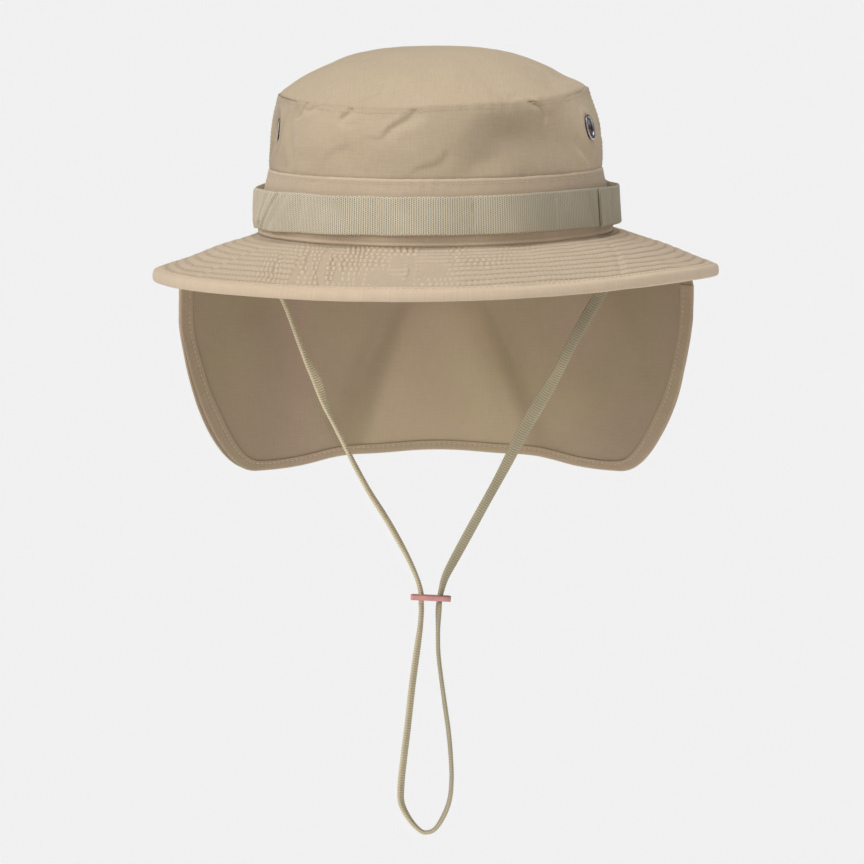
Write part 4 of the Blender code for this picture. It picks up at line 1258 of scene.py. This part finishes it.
def flap_shade(along, z):
    """Painted light and painted shade of the flap: lighter between its two long folds, darker in them and at
    its sides.
    """
    x, z = along / MM - 4, z / MM
    half = 20 + 0.34 * np.clip(-50 - z, 0, 100)
    low = ease((-30 - z) / 30)
    side = np.where(x > 0, 0.14, 0.10) * ease((np.abs(x) - 60) / 50)
    return 1 - side + low * (0.20 * (1 - ease((np.abs(x) - half) / 9 + 0.5))
                             - 0.04 * bell(np.abs(x) - half - 9, 8))


def flap_lean(z):
    """How much of the hat's lean a point of the flap takes: all of it at the brim, none lower down."""
    return ease((z + 75 * MM) / (45 * MM))


def flap_place(points, out, along):
    """Moves points of the flap outwards, and leans them with the hat."""
    angle = along / FLAP_RADIUS
    outward = np.stack([np.sin(angle), np.cos(angle), 0 * angle], -1)
    moved = points + outward * out[..., None]
    moved = settle(moved, flap_lean(moved[..., 2]))
    share = 1 - ease((moved[..., 2] + 60 * MM) / (40 * MM))
    moved[..., 0] += FLAP_SHIFT * share
    return moved


def hem_line(u):
    half = FLAP_HALF_ANGLE * FLAP_RADIUS
    side, sign = np.abs(u), np.sign(u)
    straight = 0.93
    t = (side - straight) / (1 - straight)
    along = np.where(side > straight, half, half * np.sin(np.minimum(side / straight, 1) * np.pi / 2))
    z = np.where(side > straight, FLAP_SIDE_HEIGHT + (HEM_TOP - FLAP_SIDE_HEIGHT) * t, flap_edge(along))
    return np.stack([sign * along, z], -1)


def flap():
    t = np.linspace(-1, 1, 380)
    u = np.sin(t * np.pi / 2)
    v = np.concatenate([np.linspace(0, 0.25, 16)[:-1], np.linspace(0.25, 0.42, 12)[:-1],
                        np.linspace(0.42, 1, 84)])
    grid_v, grid_u = np.meshgrid(v, u, indexing="ij")
    middle = flap_base(grid_u, grid_v)
    along = grid_u * FLAP_HALF_ANGLE * FLAP_RADIUS
    hanging = ease((grid_v - 0.36) / 0.12)
    out = flap_fold(along, middle[..., 2]) * hanging
    normal = normals_of(middle, away_from=(0, 0.03, -0.06))
    placed = flap_place(middle, out, along)
    normal = normals_of(placed, away_from=(0, 0.03, -0.06))
    points, faces = shell(placed + normal * 0.5 * MM, placed - normal * 0.5 * MM)
    place = flat_place(along, middle[..., 2] + (middle[..., 1] - FLAP_BACK) * (1 - hanging))
    # The flap's tint is painted light and painted shade.
    tint = flap_shade(along, middle[..., 2])
    obj = piece("flap_cloth", points, faces, SHADED_FLAP_CLOTH, body=None, stands_for=["neck_flap"],
                cloth=twice(place), tint=twice(tint))
    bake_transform(obj)


# Section of the hem's fold: distance in from the flap's edge, and height out of its cloth, in mm
HEM_SECTION = (
    (6.9, -0.62), (6.95, -0.95), (6.6, -1.18), (5.6, -1.12), (4.6, -0.92), (3.9, -1.06), (3.4, -1.12),
    (2.9, -1.14), (2.0, -1.15), (1.0, -1.2), (0.3, -1.12), (-0.2, -0.8), (-0.42, -0.2), (-0.36, 0.3),
    (-0.1, 0.72), (0.5, 0.86), (1.4, 0.82), (1.9, 0.55), (1.2, 0.5), (0.3, 0.3), (0.35, -0.3),
    (1.4, -0.56), (3.4, -0.58), (5.6, -0.58),
)


def flap_hem():
    """The turned-up hem: a flat fold round the free edge, with a row of stitches."""
    u = np.linspace(-1, 1, 900)
    spots = hem_line(u)
    reach = reach_along(spots)
    even = np.linspace(0, reach[-1], 1000)
    spots = np.stack([np.interp(even, reach, spots[:, i]) for i in range(2)], -1)
    spots[1:-1] = (spots[:-2] + 2 * spots[1:-1] + spots[2:]) / 4
    tangent = np.gradient(spots, axis=0)
    tangent = tangent / np.linalg.norm(tangent, axis=1, keepdims=True)
    inward = np.stack([-tangent[:, 1], tangent[:, 0]], -1)
    section = np.array(HEM_SECTION) * MM
    ripple = np.sin(even / HEM_PITCH * 2 * math.pi)
    # the hem is turned up wider at the sides
    wide = 0.68 + 0.75 * ease((np.abs(spots[:, 0]) / MM - 98) / 40)
    depth = section[:, 0][:, None] * np.where(section[:, 0][:, None] > 2 * MM, wide[None, :], 1.0)
    flat = spots[None] + inward[None] * depth[..., None]
    # the fold's inner edge turns its corners in a wider curve
    soft = flat.copy()
    for _ in range(180):
        soft[:, 1:-1] = (soft[:, :-2] + 2 * soft[:, 1:-1] + soft[:, 2:]) / 4
    share = ease(section[:, 0] / (4 * MM))[:, None, None]
    flat = flat * (1 - share) + soft * share
    base_x, base_y = flap_wall(flat[..., 0])
    base = np.stack([base_x, base_y, flat[..., 1]], -1)
    out = flap_fold(flat[..., 0], flat[..., 1])
    shown = (section[:, 1][:, None] < -0.8 * MM) * bell(section[:, 0][:, None] / MM - 3.4, 2.4)
    out = out + section[:, 1][:, None] + 0.03 * MM * ripple[None, :] * shown
    out = out + 0.12 * MM * noise(base, 8 * MM, 61)
    placed = flap_place(base, out, flat[..., 0])
    rows, columns = placed.shape[:2]
    faces = grid_faces(rows, columns, wrap_rows=True)
    # Painted shade along the fold's inner edge and in its puckers, and painted light in the middle.
    inner_edge = bell(section[:, 0] / MM - 6.9, 0.4)
    middle = 0.09 * (1 - ease((np.abs(spots[:, 0]) / MM - 60) / 50))
    tint = (0.98 - 0.2 * inner_edge)[:, None] + (0.02 * ripple + middle)[None, :]
    place = flat_place(even[None, :] + 0 * depth, depth)
    piece("flap_hem_fold", placed, faces, SHADED_FLAP_CLOTH, body="neck_flap",
          stands_for=["neck_flap_hem"], cloth=place, tint=tint, caps=end_caps(rows, columns))
    facing = normals_of(placed[:8], away_from=(0, 0.5, -0.08))
    rows = [row_of_stitches(placed[4], facing[4], HEM_PITCH)]
    # the same stitches show on the outer face
    flat = spots + inward * (4.6 * MM * wide)[:, None]
    x, y = flap_wall(flat[:, 0])
    outer = flap_place(np.stack([x, y, flat[:, 1]], -1),
                       flap_fold(flat[:, 0], flat[:, 1]) + 0.5 * MM, flat[:, 0])
    rows.append(row_of_stitches(outer, -facing[6], HEM_PITCH, phase=0.5))
    sew("flap_hem_stitches", rows, SEWING_LIGHT, "khaki_ripstop", settled=True, length=1.9 * MM,
        radius=0.22 * MM, body="neck_flap", seed=7)


def flap_tape():
    """The tape in the seam that the flap hangs from."""
    u = np.linspace(-1, 1, 300)
    radii = np.linspace(91.5, 95.7, 7) * MM
    x_y = oval(radii[:, None], 180 - u[None, :] * FLAP_RING_PHI, 0.0)
    level = under_brim(x_y[..., 0], x_y[..., 1], 0.4 * MM)
    ripple = 0.08 * MM * np.sin(u * 260)[None, :] + 0.1 * MM * bell(np.arange(7) - 3, 1.0)[:, None]
    top, bottom = x_y.copy(), x_y.copy()
    top[..., 2] = level
    bottom[..., 2] = level - 0.75 * MM + ripple
    points, faces = shell(settle(top), settle(bottom))
    piece("flap_seam_tape", points, faces, TAPE_CLOTH, stands_for=["neck_flap_tape"])


# ---------------------------------------------------------------- chin cord

CORD_WIDTH = 5.4 * MM
CORD_THICKNESS = 2.1 * MM
RIB_PITCH = 1.3 * MM
# x, z in mm, the twist in degrees (0 shows its flat side to the front) and the share of the full width
LEFT_STRAND = (
    (-95.5, -11.6, 22, 0.85), (-88.5, -22.0, 62, 0.9), (-79.3, -36.5, 86, 0.95), (-71.9, -55.1, 80, 1),
    (-67.3, -66.1, 62, 1), (-61.8, -78.0, 34, 1), (-57.6, -90.3, 64, 1), (-51.6, -103.2, 86, 1),
    (-46.0, -114.3, 82, 1), (-40.2, -125.6, 76, 1), (-34.1, -136.6, 74, 1), (-27.2, -147.5, 70, 1),
    (-21.1, -157.9, 70, 1), (-14.7, -169.8, 76, 0.95), (-10.1, -180.1, 80, 0.9), (-8.0, -187.0, 70, 0.75),
    (-7.5, -191.0, 60, 0.62), (-7.6, -193.5, 60, 0.68),
)
RIGHT_STRAND = (
    (96.8, -12.0, 14, 0.9), (91.0, -22.5, 10, 1.0), (82.9, -36.5, 8, 1.12), (76.1, -48.3, 6, 1.08),
    (69.7, -60.1, 8, 1.0), (64.0, -71.8, 12, 0.98), (56.9, -84.5, 8, 1.15), (50.0, -95.8, 6, 1.26),
    (43.5, -107.3, 10, 1.12), (37.8, -119.0, 14, 1.04), (31.7, -130.6, 30, 1), (25.4, -142.0, 34, 1),
    (17.4, -156.6, 30, 1), (9.6, -171.0, 30, 0.95), (5.0, -180.0, 46, 0.9), (2.9, -187.0, 55, 0.75),
    (2.0, -191.0, 55, 0.62), (1.7, -193.5, 55, 0.68),
)
LOOP = (
    (-7.6, -193.5, 60, 0.68), (-7.5, -198.0, 72, 0.85), (-8.1, -206.0, 72, 0.95), (-9.6, -217.0, 64, 1),
    (-12.4, -238.0, 62, 1), (-14.6, -258.0, 62, 1), (-16.8, -276.0, 60, 1), (-18.1, -289.0, 60, 1),
    (-17.8, -298.0, 66, 1), (-13.8, -306.0, 76, 1), (-8.9, -311.6, 88, 1), (-5.2, -313.2, 92, 1),
    (-0.5, -311.4, 88, 1), (4.0, -304.6, 80, 1), (7.1, -296.0, 82, 1), (8.1, -285.8, 84, 1),
    (7.8, -275.0, 84, 1), (6.6, -261.0, 80, 1), (4.8, -248.0, 80, 1), (2.9, -234.0, 86, 1),
    (1.4, -221.0, 88, 1), (1.1, -209.0, 86, 0.95), (1.4, -198.0, 62, 0.85), (1.7, -193.5, 55, 0.68),
)


def smooth_line(keys, step):
    """Points every step along a smooth curve through the keys."""
    keys = np.asarray(keys, float)
    padded = np.concatenate([2 * keys[:1] - keys[1:2], keys, 2 * keys[-1:] - keys[-2:-1]])
    out = []
    for a, b, c, d in zip(padded, padded[1:], padded[2:], padded[3:]):
        t = np.linspace(0, 1, 40, endpoint=False)[:, None]
        out.append(0.5 * (2 * b + (c - a) * t + (2 * a - 5 * b + 4 * c - d) * t**2
                          + (3 * b - a - 3 * c + d) * t**3))
    line = np.concatenate(out + [keys[-1:]])
    reach = reach_along(line[:, :2])
    spots = np.linspace(0, reach[-1], max(8, round(reach[-1] / step)))
    return spots, np.stack([np.interp(spots, reach, line[:, i]) for i in range(4)], -1)


def cord(name, keys, seed, shade, stands_for=()):
    """A flat woven cord with slanting ribs, swept along its line. shade holds shares of length and tints of
    painted light and painted shade.
    """
    spots, line = smooth_line(keys, 0.34)
    path = np.stack([line[:, 0], 0 * spots, line[:, 1]], -1) * MM
    free = np.minimum(1, np.minimum(spots, spots[-1] - spots) / 12)
    path[:, 1] += 0.5 * MM * line_noise(spots, 30.0, 71 + seed) * free
    tangent = unit(np.gradient(path, axis=0))
    front = np.array([0, -1.0, 0])
    side = unit(np.cross(tangent, front))
    facing = np.cross(side, tangent)
    twist = np.radians(line[:, 2])[:, None]
    wide = side * np.cos(twist) + facing * np.sin(twist)
    thick = -side * np.sin(twist) + facing * np.cos(twist)
    count = 26
    angles = np.arange(count) * 2 * math.pi / count
    c, s = np.cos(angles), np.sin(angles)
    across, deep = flatten_circle(c), flatten_circle(s)
    chevron = (spots[:, None] / (RIB_PITCH / MM) * 2 * math.pi + np.abs(across)[None, :] * 2.2
               + (s < 0)[None, :] * 1.6)
    rib = 0.5 + 0.5 * np.sin(chevron)
    body = np.abs(across) < 0.78
    grow = np.where(body[None, :], 0.26 * rib, 0.16 * rib + 0.08)
    share = line[:, 3][:, None]
    w = (CORD_WIDTH / 2 * share) * across[None, :] * (1 + 0.03 * rib)
    d = (CORD_THICKNESS / 2 * (0.75 + 0.25 * share)) * deep[None, :] * (0.9 + grow / 1.05)
    points = path[:, None] + wide[:, None] * w[..., None] + thick[:, None] * d[..., None]
    faces = grid_faces(len(spots), count, wrap_columns=True)
    last = (len(spots) - 1) * count
    caps = [list(range(count)), list(range(last, last + count))[::-1]]
    # Painted shade between the ribs, then painted light and painted shade along the cord from shade.
    tint = np.where(body[None, :], 0.62 + 0.50 * rib**1.3, 0.70 + 0.42 * rib)
    tint = tint * np.interp(spots / spots[-1], *zip(*shade))[:, None]
    return piece(name, points, faces, CORD, body=None, tint=tint, sharp=85, caps=caps,
                 stands_for=stands_for)


def chin_cord():
    # The shares and tints given to each cord are painted light and painted shade.
    left = cord("cord_strand_left", LEFT_STRAND, 0, ((0, 1.45), (0.75, 1.45), (1, 1.3)), ["chin_cord"])
    right = cord("cord_strand_right", RIGHT_STRAND, 1, ((0.18, 0.72), (0.35, 1.0), (1, 0.95)))
    for strand in (left, right):
        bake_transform(strand)
    loop = cord("cord_loop", LOOP, 2, ((0, 1.15), (0.1, 1.3), (0.45, 1.3), (0.6, 0.95), (1, 0.88)))
    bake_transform(loop)


def rounded_box(size, edge):
    """Points and faces of a box with soft edges, as a bent grid on each of its six sides."""
    grid = np.linspace(-1, 1, 24)
    a, b = np.meshgrid(grid, grid, indexing="ij")
    points, faces, start = [], [], 0
    for axis in range(3):
        for sign in (-1, 1):
            cube = np.zeros((*a.shape, 3))
            cube[..., axis] = sign
            cube[..., (axis + 1) % 3] = a
            cube[..., (axis + 2) % 3] = b * sign
            points.append(cube.reshape(-1, 3))
            faces.append(grid_faces(*a.shape) + start)
            start += a.size
    points, faces = np.concatenate(points), np.concatenate(faces)
    keys = np.round(points * 1e5).astype(np.int64)
    _, first, back = np.unique(keys, axis=0, return_index=True, return_inverse=True)
    points, faces = points[first], back.reshape(-1)[faces]
    half = np.asarray(size) / 2
    core = points * half
    inner = np.clip(core, -(half - edge), half - edge)
    outside = np.abs(core - inner).max(-1, keepdims=True) > 1e-9
    return inner + unit(core - inner + 1e-12 * points) * edge * outside, faces


def anchors():
    """The stitched tabs that hold the cord's ends under the brim."""
    rows = []
    for name, x in (("cord_tab_left", ANCHOR_XS[0]), ("cord_tab_right", ANCHOR_XS[1])):
        points, faces = rounded_box((9 * MM, 8 * MM, 0.9 * MM), 0.35 * MM)
        before, level, after = brim_height(abs(x) + np.array([-4, 0, 4]) * MM, 90.0)
        slope = math.copysign(before - after, -x) / (8 * MM)
        centre = np.array([x, 0, level - PLY_DEPTHS[2] - 0.95 * MM])
        points[:, 2] += slope * points[:, 0]
        points = points + centre
        piece(name, settle(points), faces, CORD, stands_for=[name.replace("cord_tab", "cord_anchor")])
        corners = np.array([(-3, -2.6), (3, -2.6), (3, 2.6), (-3, 2.6), (-3, -2.6), (3, 2.6)]) * MM
        line = np.concatenate([np.linspace(p, q, 12) for p, q in zip(corners, corners[1:])])
        line = np.stack([line[:, 0], line[:, 1], slope * line[:, 0] - 0.45 * MM], -1) + centre
        rows.append(row_of_stitches(line, np.repeat([[0, 0, -1.0]], len(line), 0), 1.7 * MM))
    sew("cord_tab_stitches", rows, SEWING_LIGHT, "cord",
        length=1.4 * MM, radius=0.17 * MM, lift=0.05 * MM, seed=8)


SLIDER_LENGTH, SLIDER_WIDTH = 20.0 * MM, 8.2 * MM
SLIDER_HOLES, SLIDER_HOLE = (-4.7 * MM, 4.6 * MM), 1.75 * MM
SLIDER_TILT = math.radians(2.7)


def slider():
    """A leather tab with two holes, bent a little where the cord pulls."""
    curve = bpy.data.curves.new("slider_outline", "CURVE")
    curve.dimensions = "2D"
    curve.fill_mode = "BOTH"
    half_x, half_y, corner = SLIDER_LENGTH / 2, SLIDER_WIDTH / 2, 1.2 * MM
    outline = []
    for cx, cy, start in ((1, 1, 0), (-1, 1, 90), (-1, -1, 180), (1, -1, 270)):
        for angle in np.radians(np.linspace(start, start + 90, 7)):
            outline.append(((half_x - corner) * cx + corner * math.cos(angle),
                            (half_y - corner) * cy + corner * math.sin(angle)))
    loops = [outline]
    for offset in SLIDER_HOLES:
        loops.append([(offset + SLIDER_HOLE * math.cos(t), SLIDER_HOLE * math.sin(t))
                      for t in np.linspace(0, 2 * math.pi, 28, endpoint=False)])
    for points in loops:
        spline = curve.splines.new("POLY")
        spline.points.add(len(points) - 1)
        for spot, (x, y) in zip(spline.points, points):
            spot.co = (x, y, 0, 1)
        spline.use_cyclic_u = True
    curve.extrude = 0.85 * MM
    curve.bevel_depth = 0.42 * MM
    curve.bevel_resolution = 3
    shape = link(bpy.data.objects.new("slider_outline", curve))
    bpy.context.view_layer.update()
    mesh = bpy.data.meshes.new_from_object(shape.evaluated_get(bpy.context.evaluated_depsgraph_get()))
    bpy.data.objects.remove(shape)
    mesh.name = "leather_slider"
    points = np.array([v.co for v in mesh.vertices], float)
    points[:, 2] += 0.25 * MM * np.cos(points[:, 0] / (10 * MM) * 2.2) + 0.10 * MM * noise(points, 3 * MM, 81)
    cosine, sine = math.cos(SLIDER_TILT), math.sin(SLIDER_TILT)
    x, z = points[:, 0].copy(), points[:, 2].copy()
    points[:, 0] = x * cosine + z * sine + SLIDER_CENTRE
    points[:, 2] = -x * sine + z * cosine + SLIDER_HEIGHT
    mesh.vertices.foreach_set("co", points.astype(np.float32).ravel())
    tint = 1 + 0.08 * noise(points, 2 * MM, 82)
    obj = dressed(mesh, LEATHER, tint, 50)
    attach(obj, "cord_slider")
    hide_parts("cord_slider")


# ---------------------------------------------------------------- stage


# Soft lights of a studio: name, degrees round from the front, degrees above the floor, strength
LAMPS = (
    ("key", -40, 20, 0.854), ("high_key", -40, 48, 0.308), ("side", -75, 30, 0.505), ("fill", 60, 25, 0.26),
    ("top", 0, 80, 1.80),
)
LAMP_WIDTH = math.radians(40)
SKY = 0.114
FLOOR, FLOOR_SIZE, FLOOR_HEIGHT = 0.914, 180.0, -1.1


def stage():
    made, _, shader = build_material("pale_floor", 0.9, specular=0.0)
    shader.inputs["Base Color"].default_value = (FLOOR, FLOOR, FLOOR, 1.0)
    mesh = bpy.data.meshes.new("floor")
    corners = ((-1, -1), (1, -1), (1, 1), (-1, 1))
    mesh.from_pydata([(x * FLOOR_SIZE, y * FLOOR_SIZE, FLOOR_HEIGHT) for x, y in corners], [], [(0, 1, 2, 3)])
    mesh.materials.append(made)
    floor = link(bpy.data.objects.new("floor", mesh))

    world = bpy.data.worlds.new("studio")
    world.use_nodes = True
    sky = world.node_tree.nodes["Background"]
    sky.inputs["Color"].default_value = (1.0, 1.0, 1.0, 1.0)
    sky.inputs["Strength"].default_value = SKY
    bpy.context.scene.world = world

    for name, turn, height, energy in LAMPS:
        lamp = bpy.data.lights.new(name, "SUN")
        lamp.energy = energy
        lamp.angle = LAMP_WIDTH
        turn, height = math.radians(turn), math.radians(height)
        towards = Vector((-math.sin(turn) * math.cos(height), math.cos(turn) * math.cos(height),
                          -math.sin(height)))
        placed = link(bpy.data.objects.new(name, lamp))
        placed.rotation_euler = towards.to_track_quat("-Z", "Y").to_euler()

    bpy.context.scene.view_settings.view_transform = "Standard"


def camera():
    """A long lens a little above the brim, square on to the front."""
    data = bpy.data.cameras.new("camera")
    azimuth, elevation, distance, width = math.radians(0.8), math.radians(4.4), 6.0, 0.4467
    look = Vector((-0.002, 0.0, -0.105))
    back = Vector((math.sin(azimuth) * math.cos(elevation), -math.cos(azimuth) * math.cos(elevation),
                   math.sin(elevation)))
    data.sensor_width = 36.0
    data.lens = 36.0 * distance / width
    data.clip_start, data.clip_end = 0.1, 200.0
    view = link(bpy.data.objects.new("camera", data))
    view.location = look + back * distance
    view.rotation_euler = (-back).to_track_quat("-Z", "Y").to_euler()
    bpy.context.scene.camera = view


tip_panel()
side_panels()
lower_band()
sweatband()
vents()
brim()
brim_edge()
webbing_strip("foliage_webbing_front", "webbing_front", FRONT_STRIP, False)
webbing_strip("foliage_webbing_back", "webbing_back", BACK_STRIP, True)
bar_tacks()
flap()
flap_hem()
flap_tape()
chin_cord()
anchors()
slider()
stage()
camera()
